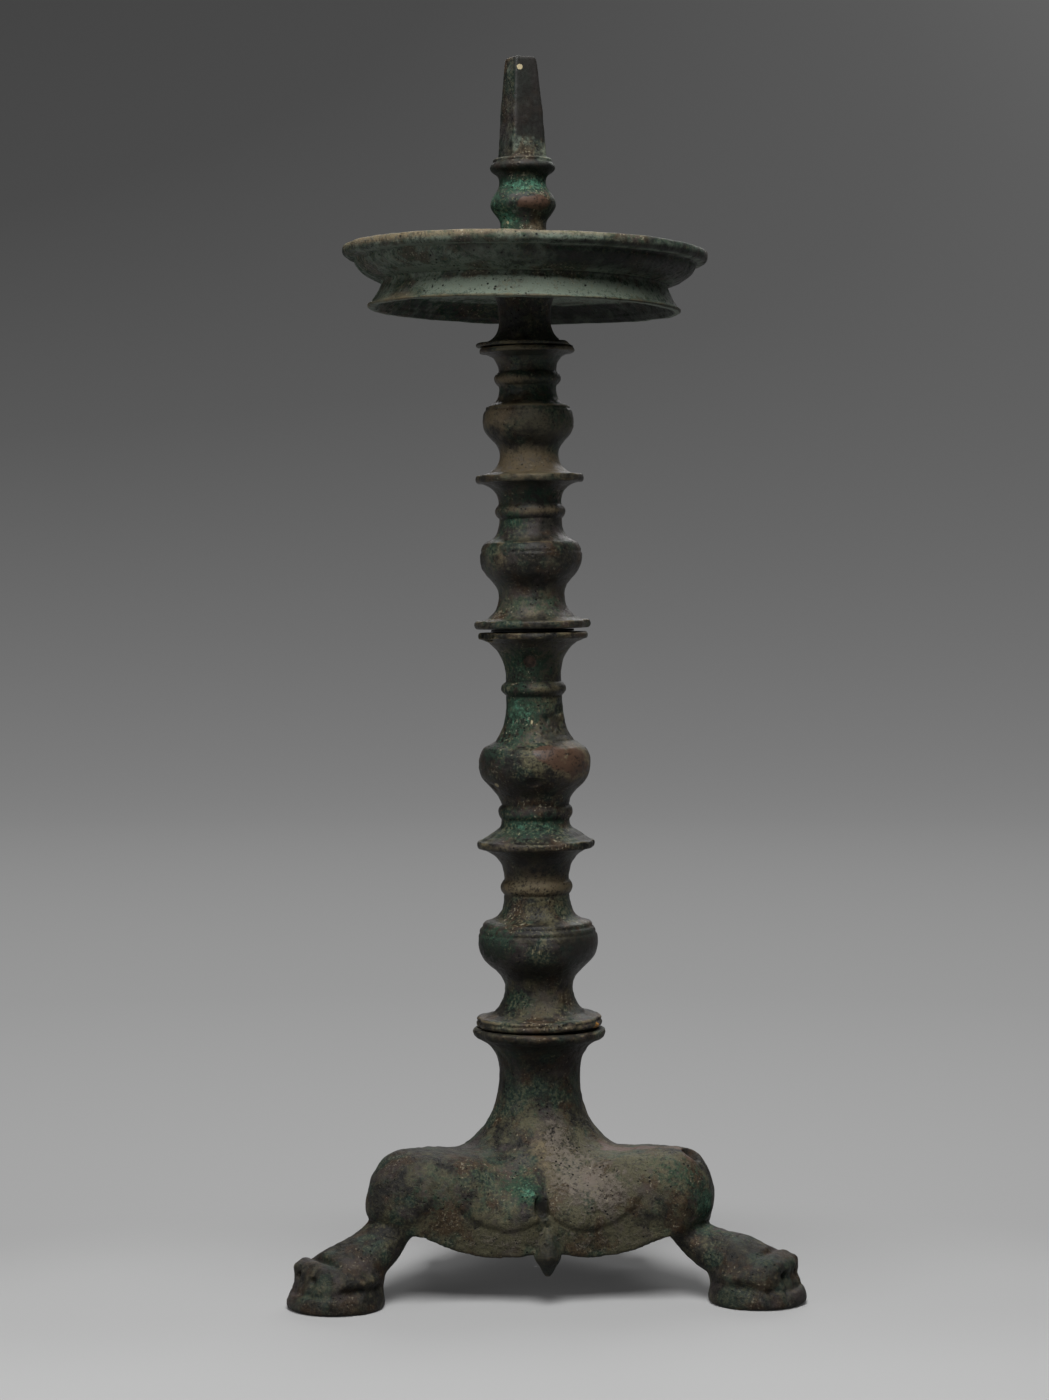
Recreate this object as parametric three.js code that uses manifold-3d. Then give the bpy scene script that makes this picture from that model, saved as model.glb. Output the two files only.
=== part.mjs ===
// Pricket lamp stand of cast copper alloy: a tripod foot, two baluster shafts, a drip pan and a square
// spike, stacked on loose dowels. Millimetres, +Z up. Two legs stand to the front (-Y) and one behind.

import * as THREE from 'three';
import { mergeVertices } from 'three/addons/utils/BufferGeometryUtils.js';
import Module from 'manifold-3d';

// Facets
const SHAFT_FACETS = 20;
const PAN_FACETS = 32;
const PAD_FACETS = 16;
const LEG_FACETS = 12;
const TOE_FACETS = 7;
const TOE_BANDS = 5;
const CURVE_STEPS = 3;
const BELL_COLUMNS_PER_LEG = 12;
const BELL_STEPS = 9;
const HOLLOW_STEPS = 6;
const SPIKE_STEPS = 6;

// Clearances
const SEAT_GAP = 0.3;
const SOCKET_CLEARANCE = 0.7;
const SOCKET_END_ROOM = 1.2;

// Leans of the loose sections, degrees towards +X
const LOWER_SHAFT_LEAN = -1.0;
const UPPER_SHAFT_LEAN = -1.2;
const COLLAR_LEAN = -0.9;
const PAN_LEAN = 1.0;
const COLLAR_SLIP = 0.6;

// Dowels and packing
const DOWEL_RADIUS = 5;
const DOWEL_IN_LOWER_PIECE = 22;
const DOWEL_IN_UPPER_PIECE = 20;
const DOWEL_CHAMFER = 1;
const PACKING_RADIUS = 17;
const PACKING_THICKNESS = 0.8;

// Tripod: column and top flange
const LEG_COUNT = 3;
const BACK_LEG_ANGLE = 90;
const KNEE_SHIFTS = [0, 1.4, -3.4];
const BASE_FLANGE_RADIUS = 27.2;
const BASE_FLANGE_HEIGHT = 4.5;
const BASE_FLANGE_ROUND = 1.6;
const BASE_COVE_RADIUS = 24.5;
const BASE_COVE_HEIGHT = 13.8;
const BASE_COVE_DROP = 3;
const COLUMN_RADIUS = 16.6;
const COLUMN_FOOT_HEIGHT = 85.2;

// Tripod: hollow bell with paired wings between the legs
const BELL_FLARE_HEIGHT = 47.5;
const BELL_SHOULDER_RADIUS = 50;
const BELL_SHOULDER_HEIGHT = 54;
const WING_RADIUS = 52;
const WING_BULGE_HEIGHT = 32;
const WING_EDGE_RADIUS = 50.5;
const WING_EDGE_HEIGHT = 18;
const BELL_WALL = 4.5;
const HOLLOW_TOP_HEIGHT = 52;
const EDGE_RISE_START = 56;
const CREASE_DEPTH = 6;
const CREASE_SHARPNESS = 1.6;
const CREASE_EDGE_RISE = 3;
const WING_CENTRE_ANGLE = 24;
const WING_FACE_DISTANCE = 47;
const WING_FLANK_LIMIT = 20;
const HOLLOW_FLANK_LIMIT = 4;
const SPREAD_START_RADIUS = 30;
const SPREAD_END_RADIUS = 46;
const WING_ROUND_RADIUS = 30;
const WING_ROUND_REACH = 28;

// Tripod: pointed bud drop below each crease, as [height, half width] from tip to top
const BUD_TIP = [11.5, 0.4];
const BUD_BELLY = [17, 3.1];
const BUD_WIDEST = [23, 5];
const BUD_SHOULDER = [29.5, 3.7];
const BUD_TOP = [36, 0.8];
const BUD_OUT = 46;
const BUD_SIDES = 8;

// Tripod: legs, as [distance from axis, height, half depth, half width] from bell to toe
const HAUNCH_ROOT = [47, 41, 14, 23];
const HAUNCH = [56, 40.5, 16.8, 20];
const HAUNCH_CROWN = [62.5, 39.4, 17.6, 18];
const KNEE = [67.5, 33.6, 13, 14];
const ANKLE = [71, 25.5, 9.2, 10.5];
const INSTEP = [80, 19.5, 9.6, 12];
const PAW_BACK = [89, 15.5, 10, 15];
const PAW_FRONT = [98, 12.8, 9.6, 17];
const TOE_ROOT = [106, 10.8, 7.8, 15.5];
const TOE_END = [111, 9.5, 4.8, 11];

// Tripod: toes and round pads
const TOE_COUNT = 4;
const TOE_SPACING = 8;
const TOE_AHEAD = 1;
const TOE_SET_BACK = 0.028;
const TOE_HEIGHT = 12.6;
const TOE_HALF_LENGTH = 5.6;
const TOE_HALF_WIDTH = 4.3;
const TOE_HALF_HEIGHT = 5.8;
const PAD_OUT = 97;
const PAD_RADIUS = 19.4;
const PAD_FLAT_RADIUS = 18.2;
const PAD_BULGE_HEIGHT = 3;
const PAD_HEIGHT = 6.8;
const SOLE_GROOVE_RADIUS = 15.8;
const SOLE_RADIUS = 17;
const SOLE_BULGE_HEIGHT = 10.5;
const SOLE_TOP_RADIUS = 12;
const SOLE_TOP_HEIGHT = 17;

// Shafts: shape of coves, flares and bulbs, as shares of their heights
const COVE_TURN = 0.2;
const FLARE_TURN = 0.78;
const BULB_NECK_PULL = 0.42;
const BULB_BELLY_PULL = 0.56;
const BULB_SHOULDER_PULL = 0.62;

// Shafts: mouldings from the bottom up, radii and heights
const LOWER_FOOT = { radius: 26, round: 1.6, height: 4.2, ledge: 22.8 };
const LOWEST_BALUSTER = {
  coveHeight: 12.4,
  neckRadius: 13.9,
  bulbRadius: 24.5,
  bulbBelow: 17.7,
  bulbAbove: 8.6,
  ridgeRadius: 21.6,
  ledgeRadius: 18.4,
  ledgeHeight: 0.9,
  throatRadius: 13.4,
  throatHeight: 10.6,
  beadRadius: 14.9,
  beadHeight: 6,
  flareHeight: 12.9,
};
const KNIFE_FLANGE = { radius: 24.2, round: 1.2, height: 3.2, ledge: 22.8 };
const SECOND_BALUSTER = {
  coneHeight: 5,
  coneRadius: 15.4,
  coveHeight: 3.7,
  neckRadius: 14.1,
  lowBeadRadius: 15.3,
  lowBeadHeight: 5.8,
  bulbRadius: 22.9,
  bulbBelow: 16.8,
  bulbAbove: 6.8,
  ridgeRadius: 20.7,
  ledgeRadius: 17.6,
  ledgeHeight: 1.7,
  throatRadius: 11.3,
  throatHeight: 19.7,
  beadRadius: 13.3,
  beadHeight: 5.6,
  flareHeight: 17.4,
};
const LOWER_TOP_FLANGE = { radius: 22.6, round: 1.2, height: 2.8, ledge: 21.2 };
const UPPER_FOOT = { radius: 23.7, round: 1.4, height: 3.4, ledge: 21 };
const THIRD_BALUSTER = {
  coveHeight: 10.5,
  neckRadius: 13.5,
  bulbRadius: 21,
  bulbBelow: 15.5,
  bulbAbove: 5.7,
  ridgeRadius: 19,
  ledgeRadius: 16.6,
  ledgeHeight: 1.2,
  throatRadius: 12.8,
  throatHeight: 8.6,
  beadRadius: 14.4,
  beadHeight: 5.8,
  flareHeight: 9,
};
const THIN_FLANGE = { radius: 22, round: 1, height: 3, ledge: 20 };
const TOP_BALUSTER = {
  coveHeight: 8.3,
  neckRadius: 11.9,
  bulbRadius: 18.7,
  bulbBelow: 14,
  bulbAbove: 5.7,
  ridgeRadius: 17,
  ledgeRadius: 14.6,
  ledgeHeight: 1.2,
  throatRadius: 11.7,
  throatHeight: 7.1,
  beadRadius: 13.6,
  beadHeight: 5.7,
  flareHeight: 7.6,
};
const UPPER_TOP_FLANGE = { radius: 19.3, round: 0.9, height: 2.2, ledge: 17.6 };

// Collar under the pan
const COLLAR_FLANGE = { radius: 20.2, round: 0.7, height: 1.5, ledge: 17.6 };
const COLLAR_STEM_RADIUS = 10.6;
const COLLAR_COVE_HEIGHT = 9;
const COLLAR_TOP_RADIUS = 13;
const COLLAR_HEIGHT = 21.3;

// Drip pan, heights from the underside of its floor
const PAN_FLOOR = 3.5;
const PAN_HOLE_CLEARANCE = 1.2;
const PAN_SEAT_MARGIN = 3;
const PAN_SEAT_RISE = 0.5;
const PAN_FLOOR_RADIUS = 53;
const PAN_WAIST_RADIUS = 58.6;
const PAN_WAIST_HEIGHT = 3.2;
const PAN_RIM_RADIUS = 74.4;
const PAN_RIM_HEIGHT = 17.5;
const PAN_RIM_THICKNESS = 3.4;
const PAN_STEP_RADIUS = 70.6;
const PAN_STEP_HEIGHT = 12.6;
const PAN_STEP_INSET = 1.2;
const PAN_STEP_DROP = 1;
const PAN_BELLY_RADIUS = 67.6;
const PAN_BELLY_HEIGHT = 7.2;
const PAN_INSIDE_RADIUS = 65.2;
const PAN_INSIDE_HEIGHT = 6.5;
const SKIRT_LIP_RADIUS = 63.9;
const SKIRT_LIP_HEIGHT = 1.6;
const SKIRT_DROP = 7.5;
const SKIRT_WALL = 2.8;

// Pricket, heights from its foot
const TANG_RADIUS = 4.6;
const TANG_TIP_RADIUS = 4;
const TANG_IN_SHAFT = 19;
const PRICKET_FOOT_RADIUS = 14;
const PRICKET_FOOT_HEIGHT = 2.2;
const PRICKET_NECK_RADIUS = 9.4;
const PRICKET_COVE_HEIGHT = 20.7;
const KNOP_RADIUS = 13.4;
const KNOP_BELOW = 8.6;
const KNOP_ABOVE = 8.7;
const KNOP_PULL = 0.4;
const PRICKET_COLLAR_RADIUS = 13;
const PRICKET_COLLAR_FLARE = 3.9;
const PRICKET_COLLAR_HEIGHT = 5.8;
const PRICKET_COLLAR_ROUND = 1.6;
const SPIKE_FOOT_SIDE = 14.7;
const SPIKE_TIP_SIDE = 10.6;
const SPIKE_SIDES = 4;
const SPIKE_HEIGHT = 41.6;
const SPIKE_BULGE = 0.7;
const SPIKE_EDGE = 1.1;
const SPIKE_TIP_ROUND = 1.4;
const SPIKE_TURN = 24;

const wasm = await Module();
wasm.setup();

const radians = THREE.MathUtils.degToRad;

// Surfaces of the castings, seen under a dark patina
const BRONZE = { color: '#3d3f36', roughness: 0.62, metalness: 0.45 };
const GREEN_BRONZE = { color: '#3f4a42', roughness: 0.68, metalness: 0.35 };
const INNER_BRONZE = { color: '#6b5738', roughness: 0.5, metalness: 0.7 };
const LEAD = { color: '#6d6f72', roughness: 0.7, metalness: 0.5 };

// A geometry with shared vertices and no flat triangles
function welded(geometry) {
  geometry.deleteAttribute('normal');
  geometry.deleteAttribute('uv');
  const merged = mergeVertices(geometry, 1e-4);
  const corners = merged.index.array;
  const kept = [];
  for (let i = 0; i < corners.length; i += 3) {
    const [a, b, c] = [corners[i], corners[i + 1], corners[i + 2]];
    if (a !== b && b !== c && c !== a) kept.push(a, b, c);
  }
  merged.setIndex(kept);
  return merged;
}

function toSolid(geometry) {
  const vertProperties = new Float32Array(geometry.attributes.position.array);
  const triVerts = new Uint32Array(geometry.index.array);
  return new wasm.Manifold(new wasm.Mesh({ numProp: 3, vertProperties, triVerts }));
}

// One solid from several, with others cut out of it
function fused(geometries, cuts = []) {
  const joined = geometries.map(toSolid).reduce((whole, solid) => whole.add(solid));
  const trimmed = cuts.map(toSolid).reduce((whole, solid) => whole.subtract(solid), joined);
  const { vertProperties, triVerts } = trimmed.getMesh();
  const geometry = new THREE.BufferGeometry();
  geometry.setAttribute('position', new THREE.BufferAttribute(vertProperties, 3));
  geometry.setIndex(new THREE.BufferAttribute(triVerts, 1));
  return geometry;
}

// A turned solid from a closed outline of (radius, height) points that runs up its outside
function turned(outline, facets) {
  const lathe = new THREE.LatheGeometry(outline, facets);
  lathe.rotateX(Math.PI / 2);
  return welded(lathe);
}

// A skin over rings of equal count, closed by a fan at each end
function lofted(rings) {
  const count = rings[0].length;
  const points = rings.flat();
  const index = [];
  for (let row = 0; row + 1 < rings.length; row += 1) {
    for (let i = 0; i < count; i += 1) {
      const next = (i + 1) % count;
      const a = row * count + i;
      const b = row * count + next;
      index.push(a, b, a + count, b, b + count, a + count);
    }
  }
  const lastRow = (rings.length - 1) * count;
  for (const [row, first] of [[rings[0], 0], [rings.at(-1), lastRow]]) {
    const middle = new THREE.Vector3();
    row.forEach((point) => middle.addScaledVector(point, 1 / count));
    const centre = points.push(middle) - 1;
    for (let i = 0; i < count; i += 1) {
      const a = first + i;
      const b = first + ((i + 1) % count);
      index.push(...(first === 0 ? [centre, b, a] : [centre, a, b]));
    }
  }
  const geometry = new THREE.BufferGeometry().setFromPoints(points);
  geometry.setIndex(index);
  return welded(geometry);
}

// Mouldings, each drawn upwards from the path's last point
function sweepIn(path, radius, height) {
  const { y } = path.currentPoint;
  path.quadraticCurveTo(radius, y + height * COVE_TURN, radius, y + height);
}

function sweepOut(path, radius, height) {
  const { x, y } = path.currentPoint;
  path.quadraticCurveTo(x, y + height * FLARE_TURN, radius, y + height);
}

function bead(path, radius, height) {
  const { x, y } = path.currentPoint;
  path.quadraticCurveTo(radius, y, radius, y + height / 2);
  path.quadraticCurveTo(radius, y + height, x, y + height);
}

function flange(path, { radius, round, height, ledge }) {
  const { y } = path.currentPoint;
  path.lineTo(radius - round, y);
  bead(path, radius, height);
  path.lineTo(ledge, y + height);
}

function bulb(path, { bulbRadius, bulbBelow, bulbAbove, ridgeRadius, ledgeRadius, ledgeHeight }) {
  const { x, y } = path.currentPoint;
  const middle = y + bulbBelow;
  const neckPull = y + bulbBelow * BULB_NECK_PULL;
  const bellyPull = middle - bulbBelow * BULB_BELLY_PULL;
  const shoulderPull = middle + bulbAbove * BULB_SHOULDER_PULL;
  path.bezierCurveTo(x, neckPull, bulbRadius, bellyPull, bulbRadius, middle);
  path.quadraticCurveTo(bulbRadius, shoulderPull, ridgeRadius, middle + bulbAbove);
  path.lineTo(ledgeRadius, middle + bulbAbove + ledgeHeight);
}

function baluster(path, sizes, flareRadius) {
  if (sizes.coneRadius) path.lineTo(sizes.coneRadius, path.currentPoint.y + sizes.coneHeight);
  sweepIn(path, sizes.neckRadius, sizes.coveHeight);
  if (sizes.lowBeadRadius) bead(path, sizes.lowBeadRadius, sizes.lowBeadHeight);
  bulb(path, sizes);
  sweepIn(path, sizes.throatRadius, sizes.throatHeight);
  bead(path, sizes.beadRadius, sizes.beadHeight);
  sweepOut(path, flareRadius, sizes.flareHeight);
}

// A shaft of two balusters between three flanges, with a blind socket in each end
function shaft(foot, lowBaluster, middle, highBaluster, top, lowSocket, highSocket) {
  const path = new THREE.Path();
  path.moveTo(0, lowSocket.depth);
  path.lineTo(lowSocket.radius, lowSocket.depth);
  path.lineTo(lowSocket.radius, 0);
  flange(path, foot);
  baluster(path, lowBaluster, middle.ledge);
  flange(path, middle);
  baluster(path, highBaluster, top.ledge);
  flange(path, top);
  const length = path.currentPoint.y;
  path.lineTo(highSocket.radius, length);
  path.lineTo(highSocket.radius, length - highSocket.depth);
  path.lineTo(0, length - highSocket.depth);
  return { geometry: turned(path.getPoints(CURVE_STEPS), SHAFT_FACETS), length };
}

function dowel() {
  const length = DOWEL_IN_LOWER_PIECE + DOWEL_IN_UPPER_PIECE;
  const path = new THREE.Path();
  path.moveTo(0, 0);
  path.lineTo(DOWEL_RADIUS - DOWEL_CHAMFER, 0);
  path.lineTo(DOWEL_RADIUS, DOWEL_CHAMFER);
  path.lineTo(DOWEL_RADIUS, length - DOWEL_CHAMFER);
  path.lineTo(DOWEL_RADIUS - DOWEL_CHAMFER, length);
  path.lineTo(0, length);
  return turned(path.getPoints(), SHAFT_FACETS);
}

// A flat or stepped ring, as an outline that closes on itself
function ring(path, facets) {
  path.closePath();
  return turned(path.getPoints(CURVE_STEPS), facets);
}

const socketRadius = DOWEL_RADIUS + SOCKET_CLEARANCE;
const seatSocket = { radius: socketRadius, depth: DOWEL_IN_LOWER_PIECE + SEAT_GAP };
const capSocket = { radius: socketRadius, depth: DOWEL_IN_UPPER_PIECE + SOCKET_END_ROOM };
const tangSocket = {
  radius: TANG_RADIUS + SOCKET_CLEARANCE + COLLAR_SLIP,
  depth: TANG_IN_SHAFT + SOCKET_END_ROOM,
};

// How far a section that leans by this angle sits above the face under it
function seatRise(radius, lean) {
  return SEAT_GAP + radius * Math.sin(Math.abs(radians(lean)));
}

const baseHeight = COLUMN_FOOT_HEIGHT + BASE_COVE_HEIGHT + BASE_FLANGE_HEIGHT;

// Angle from the nearest crease between two wings, in degrees from 0 to half a leg's share
function angleFromCrease(angle) {
  const share = 360 / LEG_COUNT;
  const fromLeg = THREE.MathUtils.euclideanModulo(angle - BACK_LEG_ANGLE, share);
  return Math.abs(fromLeg - share / 2);
}

// How far the bell's wall stands out beyond its round form: in at the creases, out at the legs
function wingOffset(fromCrease, limit) {
  if (fromCrease < WING_CENTRE_ANGLE) {
    return -CREASE_DEPTH * (1 - fromCrease / WING_CENTRE_ANGLE) ** CREASE_SHARPNESS;
  }
  const reach = WING_FACE_DISTANCE / Math.cos(radians(fromCrease));
  return Math.min(limit, reach - WING_FACE_DISTANCE / Math.cos(radians(WING_CENTRE_ANGLE)));
}

// Height of a wing's lower edge: round towards the leg, nearly level towards the crease
function wingEdgeHeight(fromCrease) {
  if (fromCrease < WING_CENTRE_ANGLE) {
    return WING_EDGE_HEIGHT + CREASE_EDGE_RISE * (1 - fromCrease / WING_CENTRE_ANGLE) ** 2;
  }
  const along = radians(fromCrease - WING_CENTRE_ANGLE) * WING_RADIUS;
  const reach = Math.min(along, WING_ROUND_REACH);
  return WING_EDGE_HEIGHT + WING_ROUND_RADIUS - Math.sqrt(WING_ROUND_RADIUS ** 2 - reach ** 2);
}

// One ring of the bell, from a point of its round outline: drawn in at the creases, lifted with the edge
function bellRing({ x, y }, flankLimit) {
  const columns = LEG_COUNT * BELL_COLUMNS_PER_LEG;
  const spread = THREE.MathUtils.smoothstep(x, SPREAD_START_RADIUS, SPREAD_END_RADIUS);
  const lift = THREE.MathUtils.smoothstep(EDGE_RISE_START - y, 0, EDGE_RISE_START - WING_EDGE_HEIGHT);
  const points = [];
  for (let i = 0; i < columns; i += 1) {
    const angle = (360 * i) / columns;
    const fromCrease = angleFromCrease(angle);
    const radius = x + spread * wingOffset(fromCrease, flankLimit);
    const rise = spread * lift * (wingEdgeHeight(fromCrease) - WING_EDGE_HEIGHT);
    const turn = radians(angle);
    points.push(new THREE.Vector3(radius * Math.cos(turn), radius * Math.sin(turn), y + rise));
  }
  return points;
}

// The column and the outside of the bell, down to the wings' edges
function bell() {
  const upper = new THREE.Path();
  const flangeFoot = baseHeight - BASE_FLANGE_HEIGHT;
  const flangeMiddle = baseHeight - BASE_FLANGE_HEIGHT / 2;
  upper.moveTo(seatSocket.radius, baseHeight - seatSocket.depth);
  upper.lineTo(seatSocket.radius, baseHeight);
  upper.lineTo(BASE_FLANGE_RADIUS - BASE_FLANGE_ROUND, baseHeight);
  upper.quadraticCurveTo(BASE_FLANGE_RADIUS, baseHeight, BASE_FLANGE_RADIUS, flangeMiddle);
  upper.quadraticCurveTo(BASE_FLANGE_RADIUS, flangeFoot, BASE_COVE_RADIUS, flangeFoot);
  upper.quadraticCurveTo(COLUMN_RADIUS, flangeFoot - BASE_COVE_DROP, COLUMN_RADIUS, COLUMN_FOOT_HEIGHT);
  const wall = new THREE.CubicBezierCurve(
    new THREE.Vector2(COLUMN_RADIUS, COLUMN_FOOT_HEIGHT),
    new THREE.Vector2(COLUMN_RADIUS, BELL_FLARE_HEIGHT),
    new THREE.Vector2(BELL_SHOULDER_RADIUS, BELL_SHOULDER_HEIGHT),
    new THREE.Vector2(WING_RADIUS, WING_BULGE_HEIGHT),
  );
  const edge = new THREE.LineCurve(
    new THREE.Vector2(WING_RADIUS, WING_BULGE_HEIGHT),
    new THREE.Vector2(WING_EDGE_RADIUS, WING_EDGE_HEIGHT),
  );
  const outline = [
    ...upper.getPoints(CURVE_STEPS),
    ...wall.getPoints(BELL_STEPS).slice(1),
    ...edge.getPoints(CURVE_STEPS).slice(1),
  ];
  return lofted(outline.map((point) => bellRing(point, WING_FLANK_LIMIT)).reverse());
}

// The hollow under the bell, open to the floor
function bellHollow() {
  const mouth = new THREE.Vector2(WING_EDGE_RADIUS - BELL_WALL, WING_EDGE_HEIGHT);
  const wall = new THREE.CubicBezierCurve(
    mouth,
    new THREE.Vector2(WING_RADIUS - BELL_WALL, WING_BULGE_HEIGHT),
    new THREE.Vector2(BELL_SHOULDER_RADIUS - BELL_WALL, HOLLOW_TOP_HEIGHT),
    new THREE.Vector2(COLUMN_RADIUS / 2, HOLLOW_TOP_HEIGHT),
  );
  const outline = [new THREE.Vector2(mouth.x, 0), ...wall.getPoints(HOLLOW_STEPS)];
  const rings = outline.map((point) => bellRing(point, HOLLOW_FLANK_LIMIT));
  rings[0].forEach((point) => point.setZ(0));
  return lofted(rings);
}

// A leg along +X: ellipse sections square to the line through its stations
function leg(kneeShift) {
  const [crown, knee] = [HAUNCH_CROWN, KNEE].map(([out, ...sizes]) => [out + kneeShift, ...sizes]);
  const upper = [HAUNCH_ROOT, HAUNCH, crown, knee, ANKLE];
  const stations = [...upper, INSTEP, PAW_BACK, PAW_FRONT, TOE_ROOT, TOE_END];
  const middles = stations.map(([out, up]) => new THREE.Vector3(out, 0, up));
  const halves = stations.map(([, , deep, wide]) => new THREE.Vector3(deep, wide, 0));
  const centres = new THREE.CatmullRomCurve3(middles);
  const widths = new THREE.CatmullRomCurve3(halves);
  const steps = (stations.length - 1) * 2;
  const rings = [];
  for (let step = 0; step <= steps; step += 1) {
    const share = step / steps;
    const centre = centres.getPoint(share);
    const along = centres.getTangent(share);
    const { x: deep, y: wide } = widths.getPoint(share);
    const points = [];
    for (let i = 0; i < LEG_FACETS; i += 1) {
      const turn = (2 * Math.PI * i) / LEG_FACETS;
      const inward = deep * Math.cos(turn);
      const side = wide * Math.sin(turn);
      points.push(new THREE.Vector3(centre.x + inward * along.z, side, centre.z - inward * along.x));
    }
    rings.push(points);
  }
  return lofted(rings);
}

function toe(place) {
  const geometry = new THREE.SphereGeometry(1, TOE_FACETS, TOE_BANDS);
  geometry.scale(TOE_HALF_LENGTH, TOE_HALF_WIDTH, TOE_HALF_HEIGHT);
  const aside = (place - (TOE_COUNT - 1) / 2) * TOE_SPACING;
  const out = TOE_ROOT[0] + TOE_AHEAD - TOE_SET_BACK * aside ** 2;
  geometry.translate(out, aside, TOE_HEIGHT);
  return welded(geometry);
}

function pad() {
  const path = new THREE.Path();
  path.moveTo(0, 0);
  path.lineTo(PAD_FLAT_RADIUS, 0);
  path.quadraticCurveTo(PAD_RADIUS, 0, PAD_RADIUS, PAD_BULGE_HEIGHT);
  path.quadraticCurveTo(PAD_RADIUS, PAD_HEIGHT, SOLE_GROOVE_RADIUS, PAD_HEIGHT);
  path.quadraticCurveTo(SOLE_RADIUS, PAD_HEIGHT, SOLE_RADIUS, SOLE_BULGE_HEIGHT);
  path.quadraticCurveTo(SOLE_RADIUS, SOLE_TOP_HEIGHT, SOLE_TOP_RADIUS, SOLE_TOP_HEIGHT);
  path.lineTo(0, SOLE_TOP_HEIGHT);
  const geometry = turned(path.getPoints(CURVE_STEPS), PAD_FACETS);
  geometry.translate(PAD_OUT, 0, 0);
  return geometry;
}

// A pointed bud along +X, keeled front and back
function bud() {
  const stations = [BUD_TIP, BUD_BELLY, BUD_WIDEST, BUD_SHOULDER, BUD_TOP];
  const rings = stations.map(([height, reach]) => {
    const points = [];
    for (let i = 0; i < BUD_SIDES; i += 1) {
      const turn = (2 * Math.PI * i) / BUD_SIDES;
      points.push(new THREE.Vector3(BUD_OUT + reach * Math.cos(turn), reach * Math.sin(turn), height));
    }
    return points;
  });
  return lofted(rings);
}

function tripodBase() {
  const pieces = [bell()];
  for (let i = 0; i < LEG_COUNT; i += 1) {
    const legTurn = radians(BACK_LEG_ANGLE + (360 * i) / LEG_COUNT);
    const creaseTurn = legTurn + Math.PI / LEG_COUNT;
    const toes = Array.from({ length: TOE_COUNT }, (_, place) => toe(place));
    for (const piece of [leg(KNEE_SHIFTS[i]), pad(), ...toes]) pieces.push(piece.rotateZ(legTurn));
    pieces.push(bud().rotateZ(creaseTurn));
  }
  return fused(pieces, [bellHollow()]);
}

function packingRing() {
  const path = new THREE.Path();
  path.moveTo(socketRadius, 0);
  path.lineTo(PACKING_RADIUS, 0);
  path.lineTo(PACKING_RADIUS, PACKING_THICKNESS);
  path.lineTo(socketRadius, PACKING_THICKNESS);
  return ring(path, SHAFT_FACETS);
}

function panCollar() {
  const bore = TANG_RADIUS + SOCKET_CLEARANCE;
  const path = new THREE.Path();
  path.moveTo(bore, 0);
  flange(path, COLLAR_FLANGE);
  sweepIn(path, COLLAR_STEM_RADIUS, COLLAR_COVE_HEIGHT);
  sweepOut(path, COLLAR_TOP_RADIUS, COLLAR_HEIGHT - COLLAR_FLANGE.height - COLLAR_COVE_HEIGHT);
  path.lineTo(bore, COLLAR_HEIGHT);
  return ring(path, SHAFT_FACETS);
}

function dripPan() {
  const hole = TANG_RADIUS + PAN_HOLE_CLEARANCE;
  const seatRadius = PRICKET_FOOT_RADIUS + PAN_SEAT_MARGIN;
  const floorTop = PAN_FLOOR - PAN_SEAT_RISE;
  const lipInside = SKIRT_LIP_RADIUS - SKIRT_WALL;
  const rimInside = PAN_RIM_RADIUS - PAN_RIM_THICKNESS;
  const rimCrest = PAN_RIM_RADIUS - PAN_RIM_THICKNESS / 2;
  const rimMiddle = PAN_RIM_HEIGHT - PAN_RIM_THICKNESS / 2;
  const wallTop = new THREE.Vector2(PAN_STEP_RADIUS - PAN_STEP_INSET, PAN_STEP_HEIGHT - PAN_STEP_DROP);
  const path = new THREE.Path();
  path.moveTo(hole, 0);
  path.lineTo(PAN_FLOOR_RADIUS, 0);
  path.quadraticCurveTo(PAN_WAIST_RADIUS - SKIRT_WALL, 0, lipInside, -SKIRT_DROP);
  path.lineTo(SKIRT_LIP_RADIUS - SKIRT_LIP_HEIGHT / 2, -SKIRT_DROP);
  bead(path, SKIRT_LIP_RADIUS, SKIRT_LIP_HEIGHT);
  path.quadraticCurveTo(PAN_WAIST_RADIUS, 0, PAN_WAIST_RADIUS, PAN_WAIST_HEIGHT);
  path.quadraticCurveTo(PAN_BELLY_RADIUS, PAN_BELLY_HEIGHT, wallTop.x, wallTop.y);
  path.lineTo(PAN_STEP_RADIUS, PAN_STEP_HEIGHT);
  path.quadraticCurveTo(PAN_RIM_RADIUS, PAN_STEP_HEIGHT, PAN_RIM_RADIUS, rimMiddle);
  path.quadraticCurveTo(PAN_RIM_RADIUS, PAN_RIM_HEIGHT, rimCrest, PAN_RIM_HEIGHT);
  path.quadraticCurveTo(rimInside, PAN_RIM_HEIGHT, rimInside, rimMiddle);
  path.quadraticCurveTo(PAN_INSIDE_RADIUS, PAN_INSIDE_HEIGHT, PAN_FLOOR_RADIUS, floorTop);
  path.lineTo(seatRadius + PAN_SEAT_RISE, floorTop);
  path.lineTo(seatRadius, PAN_FLOOR);
  path.lineTo(hole, PAN_FLOOR);
  return ring(path, PAN_FACETS);
}

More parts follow.
